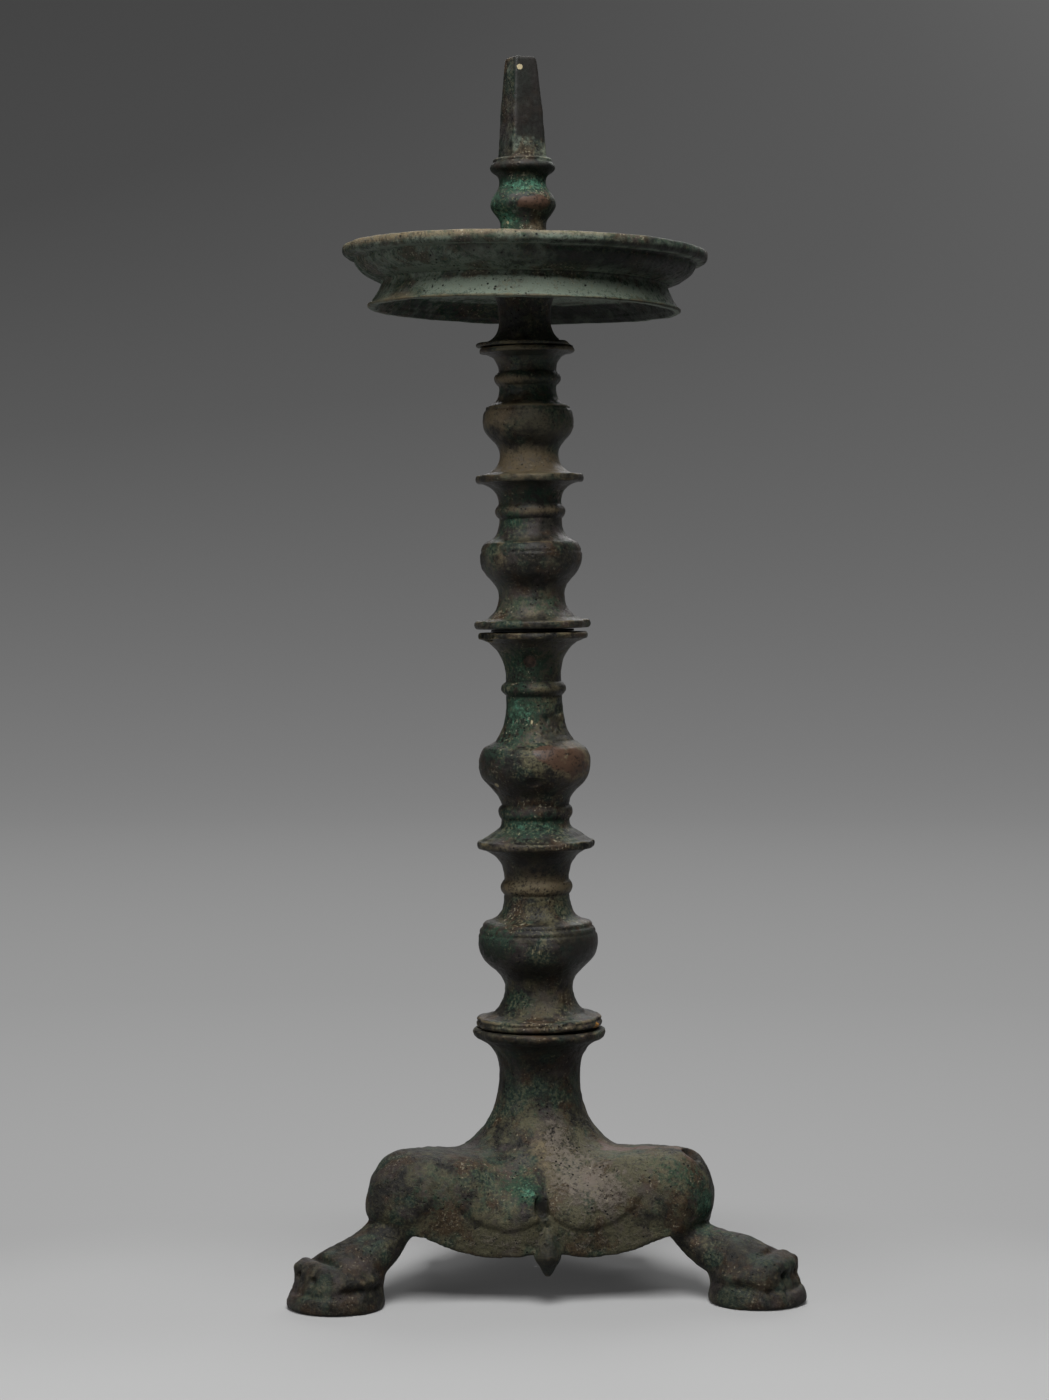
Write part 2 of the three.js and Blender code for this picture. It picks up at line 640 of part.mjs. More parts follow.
// A square spike with blunt edges, slightly full in the middle, rounded over at the tip
function spike(foot) {
  const body = SPIKE_HEIGHT - SPIKE_TIP_ROUND;
  const rings = [];
  for (let step = 0; step <= SPIKE_STEPS + 1; step += 1) {
    const share = Math.min(step / SPIKE_STEPS, 1);
    const tipRound = step > SPIKE_STEPS ? SPIKE_TIP_ROUND : 0;
    const side = THREE.MathUtils.lerp(SPIKE_FOOT_SIDE, SPIKE_TIP_SIDE, share);
    const fullness = SPIKE_BULGE * Math.sin(Math.PI * share);
    const half = side / 2 + fullness - tipRound;
    const height = foot + share * body + tipRound;
    const corners = [];
    for (let i = 0; i < SPIKE_SIDES; i += 1) {
      const turn = radians(SPIKE_TURN + (360 * i) / SPIKE_SIDES);
      for (const [along, across] of [[half, half - SPIKE_EDGE], [half - SPIKE_EDGE, half]]) {
        const x = along * Math.cos(turn) - across * Math.sin(turn);
        const y = along * Math.sin(turn) + across * Math.cos(turn);
        corners.push(new THREE.Vector3(x, y, height));
      }
    }
    rings.push(corners);
  }
  return lofted(rings);
}

function pricket(tangLength) {
  const path = new THREE.Path();
  path.moveTo(0, -tangLength);
  path.lineTo(TANG_TIP_RADIUS, -tangLength);
  path.lineTo(TANG_RADIUS, 0);
  path.lineTo(PRICKET_FOOT_RADIUS, 0);
  path.lineTo(PRICKET_FOOT_RADIUS, PRICKET_FOOT_HEIGHT);
  sweepIn(path, PRICKET_NECK_RADIUS, PRICKET_COVE_HEIGHT);
  const { y } = path.currentPoint;
  const knop = y + KNOP_BELOW;
  const neck = knop + KNOP_ABOVE;
  const pullUp = y + KNOP_BELOW * KNOP_PULL;
  const pullIn = knop - KNOP_BELOW * KNOP_PULL;
  const pullOver = knop + KNOP_ABOVE * KNOP_PULL;
  const pullBack = neck - KNOP_ABOVE * KNOP_PULL;
  path.bezierCurveTo(PRICKET_NECK_RADIUS, pullUp, KNOP_RADIUS, pullIn, KNOP_RADIUS, knop);
  path.bezierCurveTo(KNOP_RADIUS, pullOver, PRICKET_NECK_RADIUS, pullBack, PRICKET_NECK_RADIUS, neck);
  sweepOut(path, PRICKET_COLLAR_RADIUS - PRICKET_COLLAR_ROUND, PRICKET_COLLAR_FLARE);
  bead(path, PRICKET_COLLAR_RADIUS, PRICKET_COLLAR_HEIGHT);
  const top = path.currentPoint.y;
  path.lineTo(0, top);
  const body = turned(path.getPoints(CURVE_STEPS), SHAFT_FACETS);
  return fused([body, spike(top - SEAT_GAP)]);
}

function mesh(name, geometry, finish) {
  const piece = new THREE.Mesh(geometry, new THREE.MeshStandardMaterial(finish));
  piece.name = name;
  return piece;
}

// A section that stands on the one before it, turned by what it leans more than that one
function section(below, height, lean, leanBelow) {
  const group = new THREE.Group();
  group.position.z = height;
  group.rotation.y = radians(lean - leanBelow);
  below.add(group);
  return group;
}

const lowerShaft = shaft(
  LOWER_FOOT,
  LOWEST_BALUSTER,
  KNIFE_FLANGE,
  SECOND_BALUSTER,
  LOWER_TOP_FLANGE,
  capSocket,
  seatSocket,
);
const upperShaft = shaft(
  UPPER_FOOT,
  THIRD_BALUSTER,
  THIN_FLANGE,
  TOP_BALUSTER,
  UPPER_TOP_FLANGE,
  capSocket,
  tangSocket,
);

const stand = new THREE.Group();
stand.add(mesh('tripod_base', tripodBase(), BRONZE));
const baseDowel = mesh('base_dowel', dowel(), INNER_BRONZE);
baseDowel.position.z = baseHeight - DOWEL_IN_LOWER_PIECE;
stand.add(baseDowel);

const lowerSeat = baseHeight + seatRise(LOWER_FOOT.radius, LOWER_SHAFT_LEAN);
const lowerStack = section(stand, lowerSeat, LOWER_SHAFT_LEAN, 0);
lowerStack.add(mesh('lower_shaft', lowerShaft.geometry, BRONZE));
const middleDowel = mesh('middle_dowel', dowel(), INNER_BRONZE);
middleDowel.position.z = lowerShaft.length - DOWEL_IN_LOWER_PIECE;
lowerStack.add(middleDowel);
const packing = mesh('middle_packing_ring', packingRing(), LEAD);
packing.position.z = lowerShaft.length + SEAT_GAP;
lowerStack.add(packing);

const packingTop = packing.position.z + PACKING_THICKNESS;
const upperSeat = packingTop + seatRise(PACKING_RADIUS, UPPER_SHAFT_LEAN - LOWER_SHAFT_LEAN);
const upperStack = section(lowerStack, upperSeat, UPPER_SHAFT_LEAN, LOWER_SHAFT_LEAN);
upperStack.add(mesh('upper_shaft', upperShaft.geometry, BRONZE));

const collarSeat = upperShaft.length + seatRise(UPPER_TOP_FLANGE.radius, COLLAR_LEAN - UPPER_SHAFT_LEAN);
const collarStack = section(upperStack, collarSeat, COLLAR_LEAN, UPPER_SHAFT_LEAN);
collarStack.position.x = -COLLAR_SLIP;
collarStack.add(mesh('pan_collar', panCollar(), BRONZE));

const panSeat = COLLAR_HEIGHT + seatRise(COLLAR_TOP_RADIUS, PAN_LEAN - COLLAR_LEAN);
const panGroup = section(collarStack, panSeat, PAN_LEAN, COLLAR_LEAN);
panGroup.add(mesh('drip_pan', dripPan(), GREEN_BRONZE));

const pricketSeat = panSeat + PAN_FLOOR + seatRise(PRICKET_FOOT_RADIUS, PAN_LEAN - COLLAR_LEAN);
const spikePiece = mesh('pricket', pricket(pricketSeat + TANG_IN_SHAFT), GREEN_BRONZE);
spikePiece.position.z = pricketSeat;
collarStack.add(spikePiece);

// The origin is the middle of the stand's outer box, on the floor
stand.updateMatrixWorld(true);
const outerBox = new THREE.Box3().setFromObject(stand, true);
const middle = outerBox.getCenter(new THREE.Vector3());
stand.position.set(-middle.x, -middle.y, 0);

export default stand;
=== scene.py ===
import itertools
import math

import bpy
import numpy as np
import openvdb
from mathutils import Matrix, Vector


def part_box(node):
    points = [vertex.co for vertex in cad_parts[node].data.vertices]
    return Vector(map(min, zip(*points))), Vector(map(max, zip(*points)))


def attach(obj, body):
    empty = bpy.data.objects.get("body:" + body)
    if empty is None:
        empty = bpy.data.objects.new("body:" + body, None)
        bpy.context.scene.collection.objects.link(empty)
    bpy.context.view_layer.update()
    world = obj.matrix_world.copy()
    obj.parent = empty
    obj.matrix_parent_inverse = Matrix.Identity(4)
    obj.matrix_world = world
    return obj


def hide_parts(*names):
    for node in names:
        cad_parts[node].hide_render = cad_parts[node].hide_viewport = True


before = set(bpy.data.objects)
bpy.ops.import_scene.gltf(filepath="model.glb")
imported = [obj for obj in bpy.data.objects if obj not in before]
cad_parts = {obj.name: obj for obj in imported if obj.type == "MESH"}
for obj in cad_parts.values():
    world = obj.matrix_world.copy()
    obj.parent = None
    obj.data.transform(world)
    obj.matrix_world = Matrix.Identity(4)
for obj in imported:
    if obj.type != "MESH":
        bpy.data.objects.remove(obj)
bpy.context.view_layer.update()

# Tripod foot: one hollow bronze casting by lost wax. A round column with a flat top flange opens into a
# bell on three lion legs. Wings, bud drops and paws were modelled in the wax, so all joins are soft.
BASE_HEIGHT = 103.5
BASE_SOCKET_RADIUS = 5.7
BASE_SOCKET_DEPTH = 22.3
BASE_GRAIN = 0.95
SHUT = 0.02
BASE_LOW = (-110, -80, -4)
BASE_HIGH = (110, 122, 108)
COLUMN_RADIUS = 16.6
BELL_RADIUS = 52
WING_EDGE_HEIGHT = 18
WING_EDGE_ROUNDING = 30
WING_CENTRE_TURN = 24
WING_FACE = 47
CREASE_TURNS = (30, 150, 270)
CREASE_DEPTH = 3.6
CREASE_LIFT = 3
ARC_TURN, ARC_HEIGHT = 18, 45
ARC_HALF_WIDTH, ARC_HALF_HEIGHT = 19, 16.5
ARC_GROOVE, ARC_FIELD = 0.45, 0.5
LENS_ASIDE, LENS_HEIGHT = -1.8, 39
LENS_HALF_WIDTH, LENS_HALF_HEIGHT = 3.2, 5.4
HAUNCH_CHIP = (59.6, -32, 57.2)
HAUNCH_CHIP_RADIUS = 4.2
# Legs at the back, the left and the right: each was shaped a little differently by hand.
LEG_TURNS = (90, 210, 330)
KNEE_SHIFTS = (0, 1.4, -3.4)
ANKLE_SHIFTS = (0, 0, -4.2)
TOE_DROPS = (0, 1.8, 0)
HIGH_INSTEPS = (False, False, True)
SLOT_DEPTHS = (2.3, 2.3, 1.0)
# A leg's stations give distance out, height, half depth and half width. A bud's give height and half width.
LEG_STATIONS = (
    (47, 43, 10.5, 22),
    (56, 43.5, 11.4, 19),
    (62.5, 42.6, 12.6, 17),
    (68.2, 36.4, 11.6, 13),
    (71.8, 28.4, 8.4, 10.4),
    (79.5, 20.6, 8.8, 11.6),
    (89, 15.6, 9.8, 14),
    (98, 12.6, 9.6, 14.8),
    (104, 11, 8.2, 14.2),
    (109, 9.8, 6.2, 12.4),
)
BUD_STATIONS = (
    (10.8, 1.0), (12.2, 1.9), (14.6, 3.3), (17, 4.7), (19, 5.6), (21.5, 5.0), (25.8, 3.2), (29.8, 0.9),
    (30.6, 0.4),
)
BUD_OUT = 49.6
PAD_OUT = 97
TOE_PLACES = (-8.1, -2.8, 2.8, 8.1)
TOE_TIP = 112.6

foot_low, foot_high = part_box("base_dowel")
STAND_AXIS = np.array([(foot_low.x + foot_high.x) * 500, (foot_low.y + foot_high.y) * 500, 0])


def bow(*pulls, steps=16):
    """Points along a bent line through the first and last pull, without the first."""
    share = np.linspace(0, 1, steps + 1)[1:, None]
    rows = [np.array(pull, float)[None].repeat(steps, 0) for pull in pulls]
    while len(rows) > 1:
        rows = [low + (high - low) * share for low, high in zip(rows, rows[1:])]
    return rows[0]


def ease(value, low, high):
    """Share from 0 at the low value to 1 at the high one, soft at both ends."""
    share = np.clip((value - low) / (high - low), 0, 1)
    return share * share * (3 - 2 * share)


def ring_faces(rows, columns, closed=False):
    """Four-sided faces between rings of points that lie one after the other."""
    row = np.arange(rows if closed else rows - 1)[:, None] * columns
    column = np.arange(columns)[None]
    low = row + column
    side = row + (column + 1) % columns
    total = rows * columns
    faces = np.stack([low, side, (side + columns) % total, (low + columns) % total], -1)
    return faces.reshape(-1, 4)


def turned_about(points, turn):
    """Points turned about the upright axis by some degrees."""
    cosine, sine = math.cos(math.radians(turn)), math.sin(math.radians(turn))
    x, y = points[..., 0], points[..., 1]
    return np.stack([x * cosine - y * sine, x * sine + y * cosine, points[..., 2]], -1)


def wax_field(skins, low, high, grain):
    """Distance to closed skins in a block of small cells, below nought inside the wax."""
    points, faces, count = [], [], 0
    for rings in skins:
        rows, columns = rings.shape[:2]
        points.append(rings.reshape(-1, 3))
        faces.append(ring_faces(rows, columns) + count)
        count += rows * columns
    level = openvdb.FloatGrid.createLevelSetFromPolygons(
        np.concatenate(points).astype(np.float32),
        quads=np.concatenate(faces).astype(np.uint32),
        transform=openvdb.createLinearTransform(voxelSize=grain),
        halfWidth=16.0,
    )
    first = [math.floor(edge / grain) for edge in low]
    last = [math.ceil(edge / grain) for edge in high]
    field = np.empty([b - a for a, b in zip(first, last)], np.float32)
    level.copyToArray(field, ijk=tuple(first))
    return field, first


def melted(one, other, reach):
    """Two bodies of wax run together over a reach."""
    share = np.clip(reach - np.abs(one - other), 0, None) / reach
    return np.minimum(one, other) - share * share * reach / 4


def pared(body, tool, reach):
    """A body of wax cut by a tool, with the edge softened over a reach."""
    return -melted(-body, tool, reach)


def wax_skin(field, first, grain):
    """The skin of a field as points in millimetres and four-sided faces that look outwards."""
    level = openvdb.FloatGrid(float(field.max()))
    level.transform = openvdb.createLinearTransform(voxelSize=grain)
    level.copyFromArray(field, ijk=tuple(first))
    points, faces = level.convertToQuads(0.0)
    points, faces = points.astype(float), faces.astype(np.int64)
    a, b, c = (points[faces[:, i]] for i in range(3))
    if np.einsum("ij,ij->", a, np.cross(b - a, c - a)) < 0:
        faces = faces[:, ::-1]
    return points, faces


def facing(points, faces):
    """Outward direction at every point."""
    diagonal = np.cross(
        points[faces[:, 2]] - points[faces[:, 0]], points[faces[:, 3]] - points[faces[:, 1]]
    )
    outward = np.zeros_like(points)
    for corner in range(4):
        for axis in range(3):
            outward[:, axis] += np.bincount(faces[:, corner], diagonal[:, axis], len(points))
    return outward / np.maximum(np.linalg.norm(outward, axis=1, keepdims=True), 1e-9)


def lumps(points, size, seed):
    """Soft unevenness of about one size in millimetres, from -1 to 1."""
    count = 24
    heights = np.random.default_rng(seed).uniform(-1, 1, (count, count, count))
    cell = points / size
    low = np.floor(cell).astype(int)
    share = cell - low
    share = share * share * (3 - 2 * share)
    total = np.zeros(len(points))
    for corner in itertools.product((0, 1), repeat=3):
        weight = np.prod([share[:, i] if corner[i] else 1 - share[:, i] for i in range(3)], axis=0)
        place = (low + corner) % count
        total += weight * heights[place[:, 0], place[:, 1], place[:, 2]]
    return total


def wear(points, faces):
    """How hollow and how ridged the surface is at every point, each from 0 to 1."""
    outward = facing(points, faces)
    start = faces.reshape(-1)
    end = np.roll(faces, -1, axis=1).reshape(-1)
    step = points[end] - points[start]
    length = np.maximum((step * step).sum(1), 1e-4)
    bend = 2 * (step * outward[start]).sum(1) / length
    count = np.maximum(np.bincount(start, minlength=len(points)), 1)
    bend = np.clip(np.bincount(start, bend, len(points)) / count, -1.5, 1.5)
    spread = [bend]
    for _ in range(14):
        around = np.bincount(start, spread[-1][end], len(points)) / count
        spread.append((spread[-1] + around) / 2)
    return ease(spread[14], 0.01, 0.22), ease(-spread[3], 0.08, 0.5)


def near(points, turn, height, across, tall):
    """Nearness to a spot on a round piece: its turn from the front to the right, its height."""
    angle = np.degrees(np.arctan2(points[:, 0], -points[:, 1]))
    aside = (angle - turn + 180) % 360 - 180
    arc = np.radians(aside) * np.maximum(np.hypot(points[:, 0], points[:, 1]), 4)
    return np.exp(-((arc / across) ** 2) - ((points[:, 2] - height) / tall) ** 2)


def spots(points, *places):
    """Sum of spots, each with its strength, turn, height and its sizes across and upwards."""
    return sum(strength * near(points, *place) for strength, *place in places)


def put_in_stand(name, points, faces, place, lean, material, marks, caps=()):
    """A finished piece: leaned, set on its place in the stand, with its marks of age and of painted light on
    its points.
    """
    cosine, sine = math.cos(math.radians(lean)), math.sin(math.radians(lean))
    x, y, z = points.T
    leaned = np.stack([x * cosine + z * sine, y, z * cosine - x * sine], 1) + place
    mesh = bpy.data.meshes.new(name)
    mesh.from_pydata((leaned / 1000).tolist(), [], faces.tolist() + [list(cap) for cap in caps])
    for mark, amount in marks.items():
        values = mesh.attributes.new(mark, "FLOAT", "POINT").data
        values.foreach_set("value", np.clip(amount, 0, 2).astype(np.float32))
    mesh.polygons.foreach_set("use_smooth", np.ones(len(mesh.polygons), bool))
    mesh.materials.append(material)
    piece = bpy.data.objects.new(name, mesh)
    bpy.context.scene.collection.objects.link(piece)
    return piece


def tone(code):
    """Linear colour from a hex code."""
    shares = [int(code[i : i + 2], 16) / 255 for i in (1, 3, 5)]
    return [s / 12.92 if s <= 0.04045 else ((s + 0.055) / 1.055) ** 2.4 for s in shares] + [1]


def node(tree, kind, links=None, **settings):
    """Adds a node with its settings, and links or fills its inputs."""
    made = tree.nodes.new(kind)
    for setting, value in settings.items():
        setattr(made, setting, value)
    for socket, value in (links or {}).items():
        if isinstance(value, bpy.types.NodeSocket):
            tree.links.new(value, made.inputs[socket])
        else:
            made.inputs[socket].default_value = value
    return made


def blank_material(name):
    """A new material, its empty tree of nodes, and the place on the piece in metres."""
    material = bpy.data.materials.new(name)
    material.use_nodes = True
    material.node_tree.nodes.clear()
    place = node(material.node_tree, "ShaderNodeTexCoord").outputs["Object"]
    return material, material.node_tree, place


def patinated_bronze(name, dark, middle, light, green_share, dullness, relief, specks, pitting):
    """Cast bronze after centuries in the ground: dark oxide, verdigris, soil crust and worn edges, with
    painted shade and painted highlights laid over them.
    """
    material, tree, place = blank_material(name)
    found = {}
    # Sizes are in millimetres. Real grit, dust and pits are finer: they are as coarse as they need to show.
    for pattern, size, detail, rough in (
        ("broad", 22, 3, 0.55),
        ("cloud", 7, 5, 0.55),
        ("mottle", 2.3, 6, 0.7),
        ("grit", 1.25, 4, 0.7),
        ("dust", 1.1, 2, 0.55),
    ):
        links = {"Vector": place, "Scale": 1000 / size, "Detail": detail, "Roughness": rough}
        found[pattern] = node(tree, "ShaderNodeTexNoise", links).outputs["Fac"]
    drift_size, pit_size = 13, 2.3
    links = {"Vector": place, "Scale": 1000 / drift_size, "Detail": 5, "Roughness": 0.6}
    drift = node(tree, "ShaderNodeTexNoise", links).outputs["Color"]
    drifts = node(tree, "ShaderNodeSeparateColor", {0: drift}).outputs
    found["brown_drift"], found["green_drift"], found["grey_drift"] = drifts
    links = {"Vector": place, "Scale": 1000 / pit_size, "Randomness": 1.0}
    found["pit_cell"] = node(tree, "ShaderNodeTexVoronoi", links).outputs["Distance"]
    # Marks laid on the points. Besides age, some carry painted light: shade on faces turned down, in hollows
    # and on chosen places, and highlights and lifts on others.
    for mark in (
        "hollow_grime_and_shade", "rubbed_and_highlit", "under", "verdigris", "cuprite", "earth_and_painted_light", "pale_and_painted_light", "tan", "sleek_and_painted_shade", "ochre", "lime",
    ):
        found[mark] = node(tree, "ShaderNodeAttribute", attribute_name=mark).outputs["Fac"]

    green = (
        "mottle", ("verdigris", 0.62), ("hollow_grime_and_shade", 0.06), ("broad", green_share), ("grit", 0.3),
        ("polish", -0.5), ("calm", -0.1),
    )
    # Coats from the metal outwards, painted light among them: what each is summed from, then where it starts,
    # where it is full and how much it covers there, then its colour. Rows without a colour serve what comes
    # later.
    coats = (
        ("film", ("mottle",), (0.43, 0.57, 1), middle),
        ("calm", ("pale_and_painted_light",), (1.0, 1.6, 1), None),
        # Through the pale mark this lighter coat also paints highlights and lifts places that lie in shade.
        ("clouds", ("cloud", ("pale_and_painted_light", 0.4)), (0.5, 0.74, 0.85), light),
        ("brown_film", ("brown_drift", ("calm", -0.12)), (0.5, 0.62, 0.75), "#3a2a1a"),
        ("green_film", ("green_drift", ("calm", -0.12)), (0.5, 0.62, 0.7), "#1d352b"),
        ("grey_film", ("grey_drift", ("calm", -0.12)), (0.51, 0.64, 0.6), "#3d3535"),
        ("bloom", ("tan", ("mottle", 0.7), ("cloud", 0.5)), (0.85, 1.3, 0.85), "#6c5f49"),
        ("polish", ("cloud", ("cuprite", 0.75)), (0.85, 0.95, 0.92), "#48352a"),
        ("crusted", ("smooth",), (0.9, 0.3, 1), None),
        ("thin_green", green, (0.84, 1.04, 0.85), "#223a2d"),
        ("thick_green", green, (1.08, 1.4, 0.9), "#4f7f69"),
        # Through the earth mark this crust also lifts the shaded low parts of the foot's wings: painted
        # light.
        ("crust", ("mottle", ("earth_and_painted_light", 0.55), ("grit", 0.5)), (0.9, 1.12, 0.9), "#5f5850"),
        ("specked", ("grit", ("green_drift", 0.5), ("crusted", 0.4)), (1.2, 1.3, 0.75 * specks), "#6c664f"),
        ("dusted", ("dust", ("brown_drift", 0.8), ("crusted", 0.4)), (1.5, 1.57, 0.85 * specks), "#a19a84"),
        (
            "pitted", ("grit", ("grey_drift", 0.4), ("crust", 0.09), ("calm", 0.06)), (0.68, 0.58, pitting),
            "#090807",
        ),
        ("pits", ("pit_cell", ("cloud", 0.6)), (0.48, 0.36, 1), "#080706"),
        # Bare metal on rubbed edges; along two ledges of the upper shaft it paints highlight lines.
        ("bared_and_highlit", ("rubbed_and_highlit", ("grit", 0.8), ("cloud", 1.6)), (1.85, 2.35, 0.65), "#675d47"),
        # Near-black in hollows: grime, and painted shade in creases and recesses.
        ("grime_and_painted_shade", ("hollow_grime_and_shade",), (0.25, 1, 0.65), "#12110d"),
        # Painted shade, on faces turned down and on the other places that the under mark gives.
        ("shade", ("under",), (0, 1, 0.7), "#0e0d0b"),
        ("rust", ("ochre", ("mottle", 0.4)), (0.6, 0.8, 1), "#9a6a22"),
        # Dark smooth metal where the sleek mark is; in the lens hollow of the foot it is painted shade.
        ("dark_sleek_and_painted_shade", ("sleek_and_painted_shade",), (0, 1, 0.85), "#1b1917"),
        ("lime_spots", ("lime", ("grit", 0.5)), (0.55, 0.75, 0.9), "#a99c7c"),
        ("dull", ("thin_green", ("crust", 1)), (0, 1, 0.32), None),
        ("gritty", ("grit",), (0.3, 0.7, 0.22), None),
        ("roughness", ("dull", ("gritty", 1), ("smooth", -0.08)), None, None),
        ("height", ("mottle", ("grit", 0.45), ("pits", -0.7), ("crust", 0.4), ("dust", 0.15)), None, None),
    )
    colour = tone(dark)
    for coat, (first, *others), limits, shade in coats:
        amount = found[first]
        for source, weight in others:
            links = {0: found[source], 1: weight, 2: amount}
            amount = node(tree, "ShaderNodeMath", links, operation="MULTIPLY_ADD").outputs[0]
        if limits:
            low, high, most = limits
            links = {"Value": amount, "From Min": low, "From Max": high, "To Max": most}
            amount = node(tree, "ShaderNodeMapRange", links, interpolation_type="SMOOTHSTEP").outputs[0]
        found[coat] = amount
        if shade:
            links = {0: amount, 6: colour, 7: tone(shade)}
            colour = node(tree, "ShaderNodeMix", links, data_type="RGBA").outputs[2]
        if coat == "polish":
            links = {0: amount, 1: found["sleek_and_painted_shade"]}
            found["smooth"] = node(tree, "ShaderNodeMath", links, operation="MAXIMUM").outputs[0]

    links = {0: found["roughness"], 1: dullness}
    roughness = node(tree, "ShaderNodeMath", links, operation="ADD").outputs[0]
    links = {0: found["smooth"], 1: -0.6, 2: 0.8}
    strength = node(tree, "ShaderNodeMath", links, operation="MULTIPLY_ADD").outputs[0]
    links = {"Height": found["height"], "Strength": strength, "Distance": relief}
    bump = node(tree, "ShaderNodeBump", links).outputs[0]
    links = {"Base Color": colour, "Roughness": roughness, "Specular IOR Level": 0.22, "Normal": bump}
    skin = node(tree, "ShaderNodeBsdfPrincipled", links).outputs[0]
    node(tree, "ShaderNodeOutputMaterial", {"Surface": skin})
    return material


# Skin of the foot: brown-black oxide with olive clouds, left grainy by the mould, so it never shines in one
# sweep and looks like fine sand close to.
rough_patina = patinated_bronze(
    "bronze_grainy_patina", "#0d0c0a", "#2b2920", "#4f4c39", 0.12, 0.5, 0.0008, 0.4, 0.6
)


def wing_offset(from_crease, limit):
    """How far the bell stands out beyond its round form: in at the creases, out at the legs."""
    inward = -CREASE_DEPTH * (1 - np.minimum(from_crease / WING_CENTRE_TURN, 1)) ** 3.4
    reach = WING_FACE / np.cos(np.radians(from_crease))
    outward = np.minimum(limit, reach - WING_FACE / math.cos(math.radians(WING_CENTRE_TURN)))
    return np.where(from_crease < WING_CENTRE_TURN, inward, outward)


def wing_edge(from_crease):
    """Height of the bell's lower edge: raised in the creases, and rounded up towards the legs."""
    level = WING_EDGE_HEIGHT + CREASE_LIFT * (1 - np.minimum(from_crease / WING_CENTRE_TURN, 1)) ** 2
    along = np.radians(from_crease - WING_CENTRE_TURN) * BELL_RADIUS
    along = np.minimum(along, WING_EDGE_ROUNDING - 2)
    rounded = WING_EDGE_HEIGHT + WING_EDGE_ROUNDING - np.sqrt(WING_EDGE_ROUNDING**2 - along**2)
    return np.where(from_crease < WING_CENTRE_TURN, level, rounded)


def bell_rings(outline, flank_limit, shoulder_rise):
    """Rings of the bell from its round outline, drawn in at the creases and lifted with the edge."""
    turn = np.arange(288) * 360 / 288
    from_crease = np.abs((turn - 90) % 120 - 60)
    radius, height = outline[:, :1], outline[:, 1:]
    spread = ease(radius, 30, 46)
    lift = spread * ease(56 - height, 0, 38)
    out = radius + spread * wing_offset(from_crease, flank_limit)[None]
    up = height + lift * (wing_edge(from_crease)[None] - WING_EDGE_HEIGHT)
    shoulder = ease(radius, 26, 44) * ease(height, 30, 45)
    up = up + shoulder_rise * shoulder * ease(from_crease, 12, 46)[None]
    return np.stack([out * np.cos(np.radians(turn)), out * np.sin(np.radians(turn)), up], -1)


def round_rings(outline, columns=96):
    """Rings of a turned form from its outline of radius and height."""
    turn = np.arange(columns) * 2 * math.pi / columns
    up = outline[:, 1:] + 0 * turn
    return np.stack([outline[:, :1] * np.cos(turn), outline[:, :1] * np.sin(turn), up], -1)


def through(stations, steps=10):
    """Smooth line through rows of values."""
    rows = np.array(stations, float)
    ends = np.concatenate([[2 * rows[0] - rows[1]], rows, [2 * rows[-1] - rows[-2]]])
    found = []
    for a, b, c, d in zip(ends, ends[1:], ends[2:], ends[3:]):
        for share in np.arange(steps) / steps:
            found.append(
                b
                + (c - a) / 2 * share
                + (2 * a - 5 * b + 4 * c - d) / 2 * share**2
                + (3 * b - a - 3 * c + d) / 2 * share**3
            )
    return np.array(found + [rows[-1]])


def leg_rings(knee_shift, ankle_shift, toe_drop, turn):
    """Rings of one leg along its stations, with its own knee, ankle and toes."""
    stations = [list(station) for station in LEG_STATIONS]
    for knee in (2, 3):
        stations[knee][0] += knee_shift
    for ankle, share in ((4, 1), (5, 0.6)):
        stations[ankle][0] += ankle_shift * share
        stations[ankle][1] += 0.6 * ankle_shift * share
        stations[ankle][2] += 0.3 * ankle_shift * share
    for toe, share in ((7, 0.6), (8, 1), (9, 0.8)):
        stations[toe][1] -= toe_drop * share
    line = through(stations)
    along = np.gradient(line[:, :2], axis=0)
    along /= np.linalg.norm(along, axis=1, keepdims=True)
    line = np.concatenate([line[:1], line, line[-1:]])
    line[[0, -1], 2:] = SHUT
    along = np.concatenate([along[:1], along, along[-1:]])
    around = np.arange(64) * 2 * math.pi / 64
    deep = line[:, 2:3] * np.cos(around)
    wide = line[:, 3:4] * np.sin(around)
    rings = np.stack(
        [line[:, :1] + deep * along[:, 1:2], wide, line[:, 1:2] - deep * along[:, :1]], -1
    )
    return turned_about(rings, turn)


def bud_rings(turn):
    """Pointed leaf bud with eight flat sides and a keel in front."""
    line = through(BUD_STATIONS, 4)
    line = np.concatenate([line[:1], line, line[-1:]])
    line[[0, -1], 1] = SHUT
    around = np.arange(8) * math.pi / 4
    flat = np.linspace(0, 1, 6, endpoint=False)
    corners = np.stack([np.cos(around), np.sin(around)], -1)
    sides = corners[:, None] + (np.roll(corners, -1, 0) - corners)[:, None] * flat[:, None]
    sides = sides.reshape(-1, 2)
    x = BUD_OUT + line[:, 1:] * sides[:, 0]
    rings = np.stack([x, line[:, 1:] * sides[:, 1], line[:, :1] + 0 * x], -1)
    return turned_about(rings, turn)


def rod(u, v, w, start, end, thick, thin):
    """Distance to a rounded rod that tapers from one end to the other."""
    run = np.array(end, float) - np.array(start, float)
    share = (u - start[0]) * run[0] + (v - start[1]) * run[1] + (w - start[2]) * run[2]
    share = np.clip(share / (run @ run), 0, 1)
    gap = (u - start[0] - share * run[0]) ** 2 + (v - start[1] - share * run[1]) ** 2
    gap = gap + (w - start[2] - share * run[2]) ** 2
    return np.sqrt(gap) - (thick + (thin - thick) * share)


